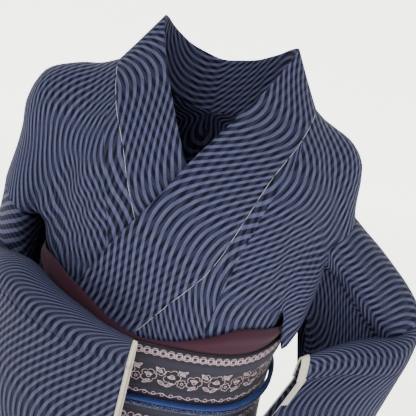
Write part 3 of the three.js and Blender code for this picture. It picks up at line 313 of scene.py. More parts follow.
COLLAR = {  # seam and free edge from the nape to the belt
    "left": (
        [(0, 104, -60), (42, 98, -52), (82, 76, -36), (110, 42, -20), (117, 6, -15), (109, -26, -30),
         (96, -58, -54), (75, -86, -86), (61, -100, -117), (49, -109, -150), (30, -119, -199),
         (-4, -121, -246), (-38, -121, -296), (-60, -120, -330)],
        [(0, 110, -6), (38, 102, 3), (64, 78, 20), (76, 46, 34), (78, 14, 36), (64, -8, 12),
         (42, -38, -20), (10, -76, -58), (-19, -99, -97), (-42, -106, -138), (-72, -108, -188),
         (-99, -100, -248), (-119, -86, -300), (-128, -78, -330)]),
    "right": (
        [(0, 104, -60), (-42, 98, -52), (-82, 76, -36), (-110, 42, -20), (-121, 6, -15), (-115, -26, -34),
         (-106, -58, -60), (-88, -88, -97), (-74, -100, -130), (-58, -110, -164), (-36, -117, -204),
         (-2, -121, -250), (38, -121, -300), (60, -120, -330)],
        [(0, 110, -6), (-38, 102, 3), (-64, 78, 20), (-76, 46, 34), (-79, 14, 36), (-71, -12, 6),
         (-52, -56, -34), (-24, -94, -88), (4, -108, -128), (34, -112, -160), (68, -108, -204),
         (95, -100, -252), (116, -88, -302), (126, -80, -330)])}
JUNCTION, COLLAR_END = 5.6, -330
OKUMI_SEAMS = np.array([  # z, x on the left side, x on the right side
    (-50, 101, -111), (-80, 91, -114), (-125, 73, -101), (-180, 58, -86), (-250, 44, -72),
    (-330, 26, -52), (-450, -14, -4), (-640, -50, 40), (-1330, -56, 44)], float)
FRONT_EDGES = np.array([(-330, -27, 27), (-400, -48, 42), (-450, -61, 50), (-1330, -62, 50)], float)
SIDES = np.array([  # z, degrees of the front's edge, degrees of the back's edge
    (-250, 86, 95), (-300, 84, 88), (-360, 79, 79), (-450, 73, 73), (-640, 67, 67), (-1330, 67, 67)], float)
SKIRT_ROWS = [(-1330, 0), (-1190, 0), (-1050, 0), (-910, 0), (-780, 0), (-680, 0), (-600, 0), (-545, 0),
              (-500, 0), (-478, 0), (-477, 0.5), (-478, 1), (-500, 1), (-505, 1.5), (-500, 2), (-473, 2),
              (-457, -1), (-410, -1), (-360, -1), (-330, -1), (-300, -1), (-250, -1)]
print("rings:", len(RINGS), "limbs:", len(LIMBS))

# %% Curves and the figure
def smooth(low, high, value):
    t = np.clip((np.asarray(value, float) - low) / (high - low), 0, 1)
    return t * t * (3 - 2 * t)


def through(values, at):
    """A smooth curve through the rows of values, at places between them."""
    values, at = np.asarray(values, float), np.asarray(at, float)
    last = len(values) - 1
    i = np.clip(np.floor(at).astype(int), 0, last - 1)
    t = at - i
    if values.ndim > 1:
        t = t.reshape(t.shape + (1,) * (values.ndim - 1))
    a, b, c, d = (values[np.clip(i + k, 0, last)] for k in (-1, 0, 1, 2))
    return b + 0.5 * t * (c - a + t * (2 * a - 5 * b + 4 * c - d + t * (3 * (b - c) + d - a)))


def at_height(table, column, z):
    """A column of a table whose first column is a height."""
    rows = table[np.argsort(-table[:, 0])]
    return through(rows[:, column], np.interp(-np.asarray(z, float), -rows[:, 0], np.arange(len(rows))))


def half_width(z, x):
    return np.where(np.asarray(x) > 0, at_height(RINGS, 2, z), at_height(RINGS, 1, z))


def ring_point(z, degrees, layer):
    z, degrees, layer = np.broadcast_arrays(np.asarray(z, float), degrees, layer)
    s, c = (np.sign(v) * np.abs(v) ** (2 / SQUARE)
            for v in (np.sin(np.radians(degrees)), np.cos(np.radians(degrees))))
    depth = np.where(c > 0, at_height(RINGS, 3, z), at_height(RINGS, 4, z))
    return np.stack([(half_width(z, degrees) + layer) * s, -(depth + layer) * c, z], -1)


def angle_at_x(z, x):
    part = np.minimum(np.abs(x) / half_width(z, x), 1)
    return np.sign(x) * np.degrees(np.arcsin(part ** (SQUARE / 2)))


def soft_min(a, b, k):
    h = np.maximum(k - np.abs(a - b), 0) / k
    return np.minimum(a, b) - h * h * k / 4


def figure(p):
    x, y, z = p[..., 0], p[..., 1], p[..., 2]
    low = np.minimum(z, 0)
    depth = np.where(y < 0, at_height(RINGS, 3, low), at_height(RINGS, 4, low))
    rho = ((np.abs(x) / half_width(low, x)) ** SQUARE + (np.abs(y) / depth) ** SQUARE) ** (1 / SQUARE)
    d = np.hypot(x, y) * (1 - 1 / np.maximum(rho, 1e-3))
    d = np.where(z > 0, np.hypot(np.maximum(d, 0), np.maximum(z, 0)), d)
    for a, b, near_radius, far_radius, deep, softness in LIMBS:
        a, b = np.array(a, float), np.array(b, float)
        axis = b - a
        along = ((x - a[0]) * axis[0] + (z - a[2]) * axis[2]) / (axis[0] ** 2 + axis[2] ** 2)
        along = np.clip(along, 0, 1)
        off = p - a - along[..., None] * axis
        off[..., 1] /= 1 + (deep - 1) * along
        reach = np.linalg.norm(off, axis=-1) - (near_radius + (far_radius - near_radius) * along)
        d = soft_min(d, reach, softness)
    return d


def slope(p):
    step = 0.5 * np.eye(3)
    return np.stack([figure(p + s) - figure(p - s) for s in step], -1)  # towards the outside


def on_layer(p, layer, rounds=8):
    """Moves points to a level of the figure, by steps along its slope."""
    q = np.array(p, float)
    for _ in range(rounds):
        g = slope(q)
        move = (layer - figure(q)) / np.maximum((g * g).sum(-1), 0.2)
        q = q + g * np.clip(move, -25, 25)[..., None]
    return q


def outward(p, layer):
    """The first crossing of a layer on the way out from the figure's inside."""
    p = np.asarray(p, float)
    inside = np.stack([p[..., 0] * 0.84, np.full(p.shape[:-1], 8.0), np.minimum(p[..., 2] - 42, -70)], -1)
    way = unit(p - inside)
    steps = np.arange(0, 400, 3.0)
    reached = np.stack([figure(inside + way * s) >= layer for s in steps])
    far = steps[np.argmax(reached, axis=0)]
    near = np.maximum(far - 3, 0)
    for _ in range(14):
        middle = (near + far) / 2
        within = figure(inside + way * middle[..., None]) < layer
        near, far = np.where(within, middle, near), np.where(within, far, middle)
    return inside + way * far[..., None]


def layer_of(side, p):
    if side < 0:
        return np.full(p.shape[:-1], NEAR)
    z = np.minimum(p[..., 2], -20)
    angle = np.degrees(np.arctan2(p[..., 0] / half_width(z, p[..., 0]),
                                  -p[..., 1] / at_height(RINGS, 3, z)))
    fade = np.where(angle > 0, smooth(50, 64, angle), smooth(74, 86, -angle))
    return NEAR + (FAR - NEAR) * smooth(-36, -84, p[..., 2]) * (1 - fade)


print("the chest is", 2 * RINGS[7, 3:].mean(), "mm deep in its middle")

# %% [markdown]
# A piece of cloth is a grid: rows along the bolt, columns across it. The grid is laid
# out between its edges and evened out while it stays on its layer, as cloth settles.
# Then a smooth curve through the rows and columns gives a finer grid to render.

# %% Laying out and refining a grid
def evenly(points, count):
    points = np.asarray(points, float)
    sums = np.concatenate([[0], np.cumsum(np.linalg.norm(np.diff(points, axis=0), axis=1))])
    want = np.linspace(0, sums[-1], count)
    return np.stack([np.interp(want, sums, points[:, k]) for k in range(3)], -1)


def drape(grid, side, rounds=60):
    for _ in range(rounds):
        mean = (grid[:-2, 1:-1] + grid[2:, 1:-1] + grid[1:-1, :-2] + grid[1:-1, 2:]) / 4
        grid[1:-1, 1:-1] = on_layer(mean, layer_of(side, mean), 2)
    return grid


def finer(grid, rows, columns, straight_rows=()):
    """A grid with rows and columns times as many spans. Rows in straight_rows stay unrounded."""
    grid = np.asarray(grid, float)
    count = len(grid) - 1
    at = np.linspace(0, count, count * rows + 1)
    curved = through(grid, at)
    if len(straight_rows):
        low = np.clip(np.floor(at).astype(int), 0, count - 1)
        t = (at - low)[:, None, None]
        plain = grid[low] * (1 - t) + grid[low + 1] * t
        keep = np.isin(low, straight_rows)[:, None, None]
        curved = np.where(keep, plain, curved)
    turned = np.swapaxes(curved, 0, 1)
    width = len(turned) - 1
    return np.swapaxes(through(turned, np.linspace(0, width, width * columns + 1)), 0, 1)


def lengths(grid, axis, zero=0):
    """Lengths along the rows or columns of a grid, from the place numbered zero."""
    steps = np.linalg.norm(np.diff(grid, axis=axis), axis=-1)
    sums = np.concatenate([np.zeros_like(np.take(steps, [0], axis)), np.cumsum(steps, axis)], axis)
    return sums - np.take(sums, [zero], axis)


def cloth_places(grid, zero_row=0, zero_column=0):
    """Where each point lies on the bolt: U across, along the row, and V along the column."""
    return np.stack([lengths(grid, 1, zero_column), lengths(grid, 0, zero_row)], -1)


def normals(grid):
    return unit(np.cross(np.gradient(grid, axis=1), np.gradient(grid, axis=0)))


def grid_faces(rows, columns):
    index = np.arange(rows * columns).reshape(rows, columns)
    corners = index[:-1, :-1], index[:-1, 1:], index[1:, 1:], index[1:, :-1]
    return np.stack(corners, -1).reshape(-1, 4).tolist()


def mesh_piece(name, points, faces, material, replaces=(), places=None):
    """A mesh in millimetres. places says where each point of a grid lies on the bolt."""
    mesh = bpy.data.meshes.new(name)
    mesh.from_pydata((np.reshape(points, (-1, 3)) / 1000).tolist(), [], faces)
    if places is not None:
        layer = mesh.attributes.new("cloth", "FLOAT_VECTOR", "POINT")
        flat = np.concatenate([places, np.zeros((*places.shape[:2], 1))], -1)
        layer.data.foreach_set("vector", flat.reshape(-1).astype(np.float32))
        mesh.polygons.foreach_set("use_smooth", [True] * len(mesh.polygons))
    mesh.materials.append(material)
    piece = bpy.data.objects.new(name, mesh)
    bpy.context.scene.collection.objects.link(piece)
    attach(piece, "root")
    if replaces:
        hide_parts(*replaces)
    return piece


def area_of(grid):
    """The area of a grid, from two triangles in each cell, in square metres."""
    a, b, c, d = grid[:-1, :-1], grid[1:, :-1], grid[:-1, 1:], grid[1:, 1:]
    doubled = sum(np.linalg.norm(np.cross(b - v, c - v), axis=-1).sum() for v in (a, d))
    return float(doubled) / 2e6


def cloth_piece(name, grid, places, material, thickness, replaces, holds):
    """A thin shell of cloth from a grid of points. It prints the size of its cut and its area."""
    piece = mesh_piece(name, grid, grid_faces(*grid.shape[:2]), material, replaces, places)
    wall = piece.modifiers.new("wall", "SOLIDIFY")
    wall.thickness, wall.offset = thickness / 1000, 0
    area = area_of(grid)
    width = float(lengths(grid, 1)[:, -1].max()) / 1000
    length = max(float(lengths(grid, 0)[-1].max()) / 1000, area / width)
    print(f"{name}: cut {width * 1000:.0f} x {length * 1000:.0f} mm, {area:.3f} m2")


print("helpers for grids and pieces are ready")

# %% [markdown]
# The trunk's creases: cloth that is wrapped and belted pulls from the armpits and the
# belt. Each crease is a soft trough along a bowed line, given one by one in its own
# sizes, and it moves every layer that lies there by the same amount.

# %% Creases
CREASES = [  # front is -1 and back is 1; start x z, end x z, bow, depth, width
    (-1, -122, -196, -88, -118, 8, 2.6, 7),
    (-1, -128, -212, -70, -176, 6, 2.2, 7),
    (-1, -132, -228, -76, -226, -4, 2.0, 6),
    (-1, -120, -244, -58, -268, -5, 1.8, 6),
    (-1, -138, -150, -118, -92, 6, 2.4, 8),
    (-1, 112, -128, 104, -236, 6, 3.0, 8),
    (-1, 126, -150, 122, -240, 5, 2.6, 7),
    (-1, 92, -190, 84, -262, 4, 1.8, 7),
    (-1, 60, -236, 96, -262, -4, 2.2, 5),
    (-1, 34, -262, 92, -254, -4, 1.8, 5),
    (-1, 10, -272, 60, -274, 3, 1.4, 5),
    (-1, 128, -232, 92, -250, 5, 2.4, 6),
    (-1, -20, -262, -60, -286, 3, 1.2, 5),
    (1, -120, -196, -84, -116, 8, 2.6, 8),
    (1, -126, -220, -60, -190, 6, 2.0, 7),
    (1, 120, -190, 84, -112, -8, 2.6, 8),
    (1, 124, -214, 58, -184, -6, 2.0, 7),
    (1, -30, -232, -70, -246, 3, 1.6, 6),
    (1, 36, -230, 74, -246, -3, 1.6, 6),
]


def crease_depth(p, way):
    """How far creases move each point inward. way is the side that the point faces, in y."""
    moved = np.zeros(p.shape[:-1])
    for face, x0, z0, x1, z1, bow, depth, width in CREASES:
        t = np.linspace(0, 1, 17)
        along = np.array([x1 - x0, z1 - z0], float)
        across = np.array([-along[1], along[0]]) / np.linalg.norm(along)
        line = np.array([x0, z0]) + t[:, None] * along + np.sin(math.pi * t)[:, None] * bow * across
        gaps = np.linalg.norm(p[..., None, [0, 2]] - line, axis=-1)
        nearest = gaps.argmin(-1)
        gap = gaps.min(-1)
        taper = np.sin(math.pi * np.clip(t[nearest] * 0.86 + 0.07, 0, 1)) ** 0.7
        trough = np.exp(-(gap / width) ** 2) - 0.45 * np.exp(-((gap - width * 1.9) / width) ** 2)
        moved += depth * taper * trough * (way * face > 0.15)
    return moved


def creased(grid):
    n = unit(slope(grid))
    return grid - n * crease_depth(grid, n[..., 1])[..., None]


print("creases:", len(CREASES))

# %% [markdown]
# The body panels: each is one length of cloth from the front hem over the shoulder to the
# back hem, tucked up under the belt. The rows below the chest follow the rings, and
# the rows above it settle on the figure between the collar seam and the armhole.

# %% Body panels
PANEL_COLUMNS, OKUMI_COLUMNS, COLLAR_COLUMNS = 8, 6, 5
FRONT_UPPER, BACK_UPPER, NECK_ROWS = 13, 15, 7
ARM_FRONT_ROWS, ARM_BACK_ROWS, HANGING_ROWS = 9, 10, 6
COLLAR_STEPS = 5
OVERHANG = [(-246, 3, 1), (-256, 17, 1), (-294, 20, 1), (-262, 26, 1), (-215, 24, 0.6)]  # z, level, share
SIDE_NAMES = {1: "left", -1: "right"}
BACK = 179.99  # degrees of the back seam, a hair to its own side
SLEEVES = {  # x y z, up x y z, side x y z, arc, foot x y z, sway x y, near
    "right": np.array([
        (-196, 12, -205, -27, 0, 22, 0, -58, 0, 165, -173, 12, -486, 0, 0, 12),
        (-198, 8, -240, -25, -2, 20, 6, -48, 0, 156, -180, 6, -505, 0, 0, 10),
        (-199, 0, -274, -23, -6, 22, 16, -38, 4, 142, -188, -6, -535, 0, 0, 5),
        (-197, -20, -296, -14, -8, 32, 25, -18, 4, 122, -191, -26, -575, 0, 0, 0),
        (-187, -60, -296, -4, -2, 42, 24, 4, 0, 102, -186, -64, -615, 0, 0, 0),
        (-164, -98, -286, 0, 0, 43, 19, 13, 0, 93, -165, -102, -655, 0, 0, 0),
        (-130, -133, -290, 0, 0, 41, 14, 17, 0, 90, -131, -136, -692, 0, 0, 0),
        (-92, -154, -297, 0, 0, 40, 8, 15, 0, 90, -92, -158, -722, 0, 0, 0),
        (-60, -164, -304, 0, 0, 38, 4, 9, 0, 90, -60, -167, -742, 0, 0, 0),
        (-31, -168, -308, 0, 0, 36, 1.6, 4.2, 0, 90, -31, -171, -760, 0, 0, 0)], float),
    "left": np.array([
        (181, 12, -157, 26, 0, 20, 0, -54, 0, 160, 212, 12, -435, 0, 0, -4),
        (211, 12, -188, 26, 0, 22, -2, -50, 0, 156, 222, 8, -480, 0, 0, -4),
        (246, 10, -222, 26, 0, 28, -4, -46, 2, 146, 236, 3, -530, 0, 0, 0),
        (279, 4, -254, 22, 0, 34, -10, -40, 4, 132, 242, -8, -580, 0, 0, 0),
        (300, -12, -284, 16, -2, 38, -20, -24, 4, 116, 240, -28, -625, 0, 0, 0),
        (284, -40, -302, 4, -2, 42, -20, 4, 0, 102, 236, -58, -662, -4, -4, 0),
        (250, -58, -304, 0, 0, 40, -14, 18, 0, 93, 212, -90, -692, -12, -10, 0),
        (219, -70, -308, 0, 0, 38, -7, 14, 0, 90, 178, -122, -712, -24, -20, 0),
        (191, -80, -316, 0, 0, 36, -4, 8, 0, 90, 146, -144, -728, -34, -30, 0),
        (167, -88, -326, 0, 0, 34, -2.2, 3.8, 0, 90, 118, -160, -744, -40, -36, 0)], float)}


def seam_x(side, z):
    return at_height(OKUMI_SEAMS, 1 if side > 0 else 2, z)


def row_layer(side, layer, degrees, front):
    lifted = (1 - smooth(53, 63, np.abs(degrees))) if side > 0 and front else 0 * degrees
    if layer >= 0:
        return NEAR + (LEFT_SKIRT - NEAR) * lifted + STEP * layer
    return NEAR + (FAR - NEAR) * lifted


def lower_rows(side, front):
    """Rows from the hem to the chest, which follow the rings and fold into the tuck."""
    rows, last = [], len(SKIRT_ROWS) - 1
    for i, (z, layer) in enumerate(SKIRT_ROWS):
        if front and side < 0:
            z, layer = HEM + (CHEST - HEM) * (1 - (1 - i / last) ** 1.3), 0
        inner = float(angle_at_x(z, seam_x(side, z))) if front else side * BACK
        outer = side * float(at_height(SIDES, 1 if front else 2, z))
        degrees = np.linspace(inner, outer, PANEL_COLUMNS + 1)
        level = row_layer(side, layer, degrees, front) if side > 0 or not front else NEAR
        rows.append(ring_point(z, degrees, level))
    return np.array(rows)


def armhole(side, way, count):
    s = SLEEVES[SIDE_NAMES[side]][0]
    angle = way * math.radians(s[9]) * np.arange(count)[:, None] / (count - 1)
    return on_layer(s[0:3] + s[3:6] * np.cos(angle) + s[6:9] * np.sin(angle), NEAR)


def collar_line(side, edge=0):
    values = COLLAR[SIDE_NAMES[side]][edge]
    return through(values, np.arange((len(values) - 1) * COLLAR_STEPS + 1) / COLLAR_STEPS)


def hang_over(grid):
    """Lets the first rows of the left front fall over the belt at the side."""
    degrees = np.linspace(float(angle_at_x(CHEST, seam_x(1, CHEST))), float(at_height(SIDES, 1, CHEST)),
                          PANEL_COLUMNS + 1)
    for i, (z, level, part) in enumerate(OVERHANG):
        share = part * smooth(46, 62, degrees)[:, None]
        if part < 1:
            share[-1] = 0
        grid[i] = grid[i] * (1 - share) + ring_point(z, degrees, level) * share
    return grid


def body_grid(side):
    front, back = lower_rows(side, True), lower_rows(side, False)[::-1]
    z = np.arange(CHEST, -60, 12.0)
    start = ring_point(z, angle_at_x(z, seam_x(side, z)), 0)
    seam = outward(start, layer_of(side, start))
    line = collar_line(side)[:int(JUNCTION * COLLAR_STEPS) + 1][::-1]
    neck = on_layer(line, layer_of(side, line))
    neck[-1, 0] = side * GAP / 2
    spine = ring_point(np.arange(neck[-1, 2], CHEST, -20.0), side * BACK, NEAR)
    spine[0] = neck[-1]
    top = int(np.argmin(np.abs(neck[:, 1] - 6)))
    up = evenly([front[-1, 0], *seam[1:], *neck[:top + 1]], FRONT_UPPER + 1)
    behind = evenly(neck[top:], NECK_ROWS + 1)
    below = evenly([*spine, back[0, 0]], BACK_UPPER - NECK_ROWS + 1)
    inner = np.concatenate([up, behind[1:], below[1:]])

    def slit(a, b, count):
        t = np.arange(1, count + 1)[:, None] / (count + 1)
        return on_layer(a * (1 - t) + b * t, NEAR)

    hole_front = armhole(side, 1, ARM_FRONT_ROWS + 1)[::-1]
    hole_back = armhole(side, -1, ARM_BACK_ROWS + 1)
    outer = np.concatenate([
        front[-1:, -1], slit(front[-1, -1], hole_front[0], FRONT_UPPER - ARM_FRONT_ROWS - 1), hole_front,
        hole_back[1:], slit(hole_back[-1], back[0, -1], BACK_UPPER - ARM_BACK_ROWS - 1), back[:1, -1]])
    u = np.linspace(0, 1, PANEL_COLUMNS + 1)[None, :, None]
    v = np.linspace(0, 1, len(inner))[:, None, None]
    sides = inner[:, None] * (1 - u) + outer[:, None] * u
    ends = front[-1][None] * (1 - v) + back[0][None] * v
    corners = (inner[0] * (1 - u) + outer[0] * u) * (1 - v) + (inner[-1] * (1 - u) + outer[-1] * u) * v
    blend = (ends - corners) * 0.4 + sides
    upper = outward(blend, layer_of(side, blend))
    upper[0], upper[-1], upper[:, 0], upper[:, -1] = front[-1], back[0], inner, outer
    upper = drape(upper, side)
    return np.concatenate([front[:-1], hang_over(upper) if side > 0 else upper, back[1:]])


bodies = {"right": body_grid(-1), "left": body_grid(1)}
side_of = {"right": -1, "left": 1}
FRONT_ROWS = len(SKIRT_ROWS)
SHOULDER_ROW = FRONT_ROWS - 1 + FRONT_UPPER
print("body grid:", bodies["left"].shape)


# %% Body pieces
def straight(rows):
    low = list(range(FRONT_ROWS - 1))
    return np.array(low + [rows - 2 - k for k in low])


FINE_ROWS, FINE_COLUMNS = 3, 5
SEAM_LAP = (-1.6, -0.6, 0)       # the left back laps under the right at the seam
ARMPIT = (-20, -232, 38, 20, 9)  # y and z of a fullness, its two reaches, how far it stands out
for key, grid in bodies.items():
    fine = creased(finer(grid, FINE_ROWS, FINE_COLUMNS, straight(len(grid))))
    if key == "left":
        fine[fine[:, 0, 1] > 20, 0] += SEAM_LAP
    else:
        y, z, deep, tall, out = ARMPIT
        near = np.exp(-((fine[..., 2] - z) / tall) ** 2 - ((fine[..., 1] - y) / deep) ** 2)
        fine[..., 0] -= np.where(fine[..., 0] < -120, out * near, 0)
    cloth_piece("cloth_body_" + key, fine, cloth_places(fine, SHOULDER_ROW * FINE_ROWS),
                stripes_of["body_" + key], 1.0, ["body_" + key],
                ("stretched", ["collar"]))

# %% [markdown]
# The overlap panels widen the fronts so that they wrap. Each shares the body panel's
# front edge row by row, and narrows upward to a point under the collar.

# %% Overlap panels
def collar_x(side, z):
    line = collar_line(side)
    i = int(np.argmax((line[:, 2] < z) & (line[:, 1] < -50)))
    t = (line[i - 1, 2] - z) / (line[i - 1, 2] - line[i, 2])
    return line[i - 1, 0] * (1 - t) + line[i, 0] * t


def okumi_grid(side, body):
    line = collar_line(side)[int(JUNCTION * COLLAR_STEPS):]
    edge = on_layer(line, layer_of(side, line))
    upper = int(np.linalg.norm(body[:, 0] - edge[0], axis=1).argmin()) - (FRONT_ROWS - 1)
    above = evenly(edge[edge[:, 2] > CHEST][::-1], upper + 1)
    rows = []
    for i in range(FRONT_ROWS + upper):
        outer = body[i, 0]
        t = np.linspace(0, 1, OKUMI_COLUMNS + 1)
        if i >= FRONT_ROWS - 1:
            p = outer + t[:, None] * (above[i - FRONT_ROWS + 1] - outer)
            q = on_layer(p, layer_of(side, p))
            q[0] = outer
            rows.append(q)
            continue
        z = outer[2]
        start = float(angle_at_x(z, seam_x(side, z)))
        end = float(angle_at_x(z, collar_x(side, z))) if z > -330 else \
            float(at_height(FRONT_EDGES, 1 if side > 0 else 2, z))
        level = row_layer(side, SKIRT_ROWS[i][1], np.zeros(1), True)[0] if side > 0 else NEAR
        rows.append(ring_point(z, start + (end - start) * t, level))
    return np.array(rows)


okumis = {key: okumi_grid(side_of[key], bodies[key]) for key in bodies}
for key, grid in okumis.items():
    fine = creased(finer(grid, FINE_ROWS, 3, np.arange(FRONT_ROWS - 1)))
    cloth_piece("cloth_okumi_" + key, fine, cloth_places(fine, len(fine) - 1), stripes_of["okumi_" + key],
                1.0, ["okumi_" + key], ("stretched", ["collar"]))

# %% [markdown]
# The collar is one long band folded double. It stands round the neck, set back at the
# nape, and lies on the chest, left over right. Its seam edge is the very edge of the
# panels, so the two can't part.

# %% Collar
def place_on_collar(side, points):
    """How far along the collar's table each point lies."""
    line = collar_line(side)
    best = np.linalg.norm(points[:, None] - line[None], axis=-1).argmin(1) / COLLAR_STEPS
    tries = best[:, None] + np.linspace(-0.2, 0.2, 81)[None]
    curve = through(COLLAR[SIDE_NAMES[side]][0], np.clip(tries, 0, 13))
    gaps = np.linalg.norm(points[:, None] - curve, axis=-1)
    return np.clip(tries[np.arange(len(points)), gaps.argmin(1)], 0, 13)


def collar_half(key):
    side = side_of[key]
    okumi, body = okumis[key], bodies[key]
    low = [i for i in range(17, len(okumi)) if okumi[i, 0, 2] >= COLLAR_END - 1]
    nape = FRONT_ROWS - 1 + FRONT_UPPER + NECK_ROWS
    seam = np.concatenate([okumi[low, -1], body[len(okumi):nape + 1, 0]])
    at = place_on_collar(side, seam)
    edge = through(COLLAR[key][1], at)
    w = np.linspace(0, 1, COLLAR_COLUMNS + 1)[None, :, None]
    flat = seam[:, None] * (1 - w) + edge[:, None] * w
    raised = on_layer(flat, layer_of(side, flat) + (COLLAR_CLOTH - CLOTH) / 2)
    lying = smooth(5, 6.6, at)[:, None, None]
    return flat * (1 - lying) + raised * lying


halves = {key: collar_half(key) for key in bodies}
collar = np.concatenate([halves["right"][:-1], halves["left"][::-1]])
nape_row = (len(halves["right"]) - 1) * 4
fine_collar = creased(finer(collar, 4, 3))
cloth_piece("cloth_collar", fine_collar, cloth_places(fine_collar, nape_row), stripes_of["collar"], 1.8,
            ["collar"], ("folded", ["body_right", "body_left"]))

# %% [markdown]
# The sleeves: each is a length of cloth folded over the arm, with the fold along the
# top, and it hangs far below the wrist. A table of loops gives the bent arm inside,
# and the loops' hanging walls fall to the bottom seam.

# %% Sleeves
SLEEVE_STATIONS, FOOT_SPACE, SEWN_SPACE, CUFF, SWAY_AT = 15, 9, 2.2, 230, 0.3


def sleeve_loop(key, at, hole=None):
    table = SLEEVES[key]
    row = through(table, at)
    count = ARM_FRONT_ROWS + ARM_BACK_ROWS + 1
    i = np.arange(count)
    part = np.where(i < ARM_FRONT_ROWS, 1 - i / ARM_FRONT_ROWS, -(i - ARM_FRONT_ROWS) / ARM_BACK_ROWS)
    angle = math.radians(row[9]) * part[:, None]
    arc = row[0:3] + row[3:6] * np.cos(angle) + row[6:9] * np.sin(angle)
    if hole is not None:
        arc = arc + hole * (1 - smooth(0, 1.3, at))
    across = np.array([row[6], row[7], 0]) / math.hypot(row[6], row[7])
    foot, sway = row[10:13], np.array([row[13], row[14], 0])
    sewn = smooth(len(table) - 2.2, len(table) - 1.4, at)
    walls = []
    for top, way in ((arc[0], 1), (arc[-1], -1)):
        w = (np.arange(HANGING_ROWS) + 1)[:, None] / HANGING_ROWS
        bend = (w / SWAY_AT) * np.exp(1 - w / SWAY_AT) * (1 - w ** 4)
        end = foot + across * way * FOOT_SPACE / 2
        lean = sway + np.array([row[15] if way < 0 else 0, 0, 0])
        p = top * (1 - w) + end * w + lean * bend
        middle = (arc[0] + arc[-1]) / 2 * (1 - w) + foot * w + sway * bend
        shut = sewn * smooth(CUFF - 60, CUFF, (top[2] - foot[2]) * w + row[5])
        walls.append(p * (1 - shut) + (middle + across * way * SEWN_SPACE / 2) * shut)
    bottom = foot + [0, 0, -FOOT_SPACE / 2]
    return np.concatenate([[bottom], walls[0][::-1], arc, walls[1], [bottom]])


def sleeve_grid(key):
    first = FRONT_ROWS - 1 + FRONT_UPPER - ARM_FRONT_ROWS
    plain = sleeve_loop(key, 0)
    count = ARM_FRONT_ROWS + ARM_BACK_ROWS + 1
    hole = bodies[key][first:first + count, -1] - plain[1 + HANGING_ROWS:1 + HANGING_ROWS + count]
    last = len(SLEEVES[key]) - 1
    return np.array([sleeve_loop(key, at, hole) for at in np.linspace(0, last, SLEEVE_STATIONS)])


sleeves = {key: sleeve_grid(key) for key in bodies}
FOLD = 1 + HANGING_ROWS + ARM_FRONT_ROWS
fine_sleeves = {key: finer(grid, 5, 4) for key, grid in sleeves.items()}
for key, grid in fine_sleeves.items():
    places = cloth_places(grid.swapaxes(0, 1), FOLD * 4).swapaxes(0, 1)
    cloth_piece("cloth_sleeve_" + key, grid, places, stripes_of["sleeve_" + key], 1.0,
                ["sleeve_" + key], ("folded", ["body_" + key]))

# %% [markdown]
# At each cuff the lining is let out a little past the cloth, as a pale line. It is a
# narrow strip inside the open end, and only what shows is made.

# %% Cuff linings
def plain_cloth(name, colour, tint, roughness, sheen=0.2, fine=1.6):
    material, across, along, place = start_cloth(name)
    grain = place.noise(fine, 3.0)
    height = weave(across, along, 3.2) * 0.3 + grain
    return finish_cloth(material, place.mix(grain, colour, tint), height, roughness, 0.3, sheen)


LINING_INSIDE = 1.2  # from the sleeve's cloth
LINING_EDGES = {"right": (-7, -0.8, 4.5), "left": (-7.5, -0.8, 2.8)}  # past the cuff's rim
lining = plain_cloth("lining_silk", dye(190, 186, 168), dye(172, 167, 146), 0.7)


def cuff_lining(key):
    grid = sleeves[key]
    count = ARM_FRONT_ROWS + ARM_BACK_ROWS + 1
    first, last = HANGING_ROWS - 1, HANGING_ROWS + count + 2
    rim = grid[-1]
    along = unit(rim - grid[-2])
    sign = -1 if rim[FOLD + 1, 1] > rim[FOLD - 1, 1] else 1
    inside = rim + unit(np.cross(along, np.gradient(rim, axis=0))) * sign * LINING_INSIDE
    return np.array([(inside + along * out)[first:last] for out in LINING_EDGES[key]])


for key in sleeves:
    fine = finer(cuff_lining(key), 2, 3)
    cloth_piece("cloth_cuff_lining_" + key, fine, cloth_places(fine), lining, 0.8,
                ["cuff_lining_" + key], ("stretched", ["sleeve_" + key]))

# %% [markdown]
# The belt: a stiff woven band wound round the waist, with rows of small outlined
# flowers and scrolls in a thread of dull pink. The motifs are worked out from angles
# and distances in each repeat, so they stay crisp at any size.

# %% Belt cloth
PINK, SLATE, DEEP = dye(184, 158, 164), dye(37, 36, 50), dye(13, 13, 20)
FLOWERS = [  # distance down the belt, repeat, size, shift
    (36, 52, 10.4, 0.1), (39, 52, 9.4, 0.6), (31, 52, 6.0, 0.36), (43, 52, 5.6, 0.86), (126, 52, 9.4, 0.35)]
LEAVES = [  # distance down the belt, repeat, size, shift, slant
    (29, 26, 5.6, 0.3, 0.7), (47, 26, 5.0, 0.75, -0.6), (37, 26, 4.6, 0.72, 0.1), (46, 52, 5.2, 0.3, 0.5),
    (28, 52, 5.2, 0.86, -0.7), (118, 26, 5.5, 0.6, 0.7)]
RINGLETS = [(6, 9, 3.3, 0.0), (8, 9, 2.2, 0.5), (61, 10, 2.0, 0.0), (95, 9, 3.3, 0.0)]
WAVES = [  # distance down the belt, swing, shift, step
    (8, 3.2, 0.0, 18), (8, 3.2, math.pi, 18), (61, 1.6, 0.4, 20), (96, 3.2, 0.4, 18)]
BANDS = [(7, 7, 8.5), (38, 15, 17), (96, 8, 9.5), (126, 14, 16)]  # darker, with where each fades


def outline(distance, width=0.15):
    return 1 - abs(distance).ramp(width, width + 0.35)


def from_centre(across, along, middle, repeat, shift):
    """Place in each repeat of a motif, from its centre."""
    return ((across / repeat + shift).fraction() - 0.5) * repeat, along - middle


def flower(across, along, middle, repeat, size, shift):
    """Petal outline, heart and petals' inside of one flower in each repeat."""
    x, y = from_centre(across, along, middle, repeat, shift)
    radius = (x * x + y * y) ** 0.5
    petals = abs((y.math("ARCTAN2", x) * 2.5).cosine()) ** 0.6
    past = radius - (petals * (size * 0.34) + size * 0.62)
    return outline(past), outline(radius - size * 0.26), 1 - past.ramp(-0.4, 0.2)


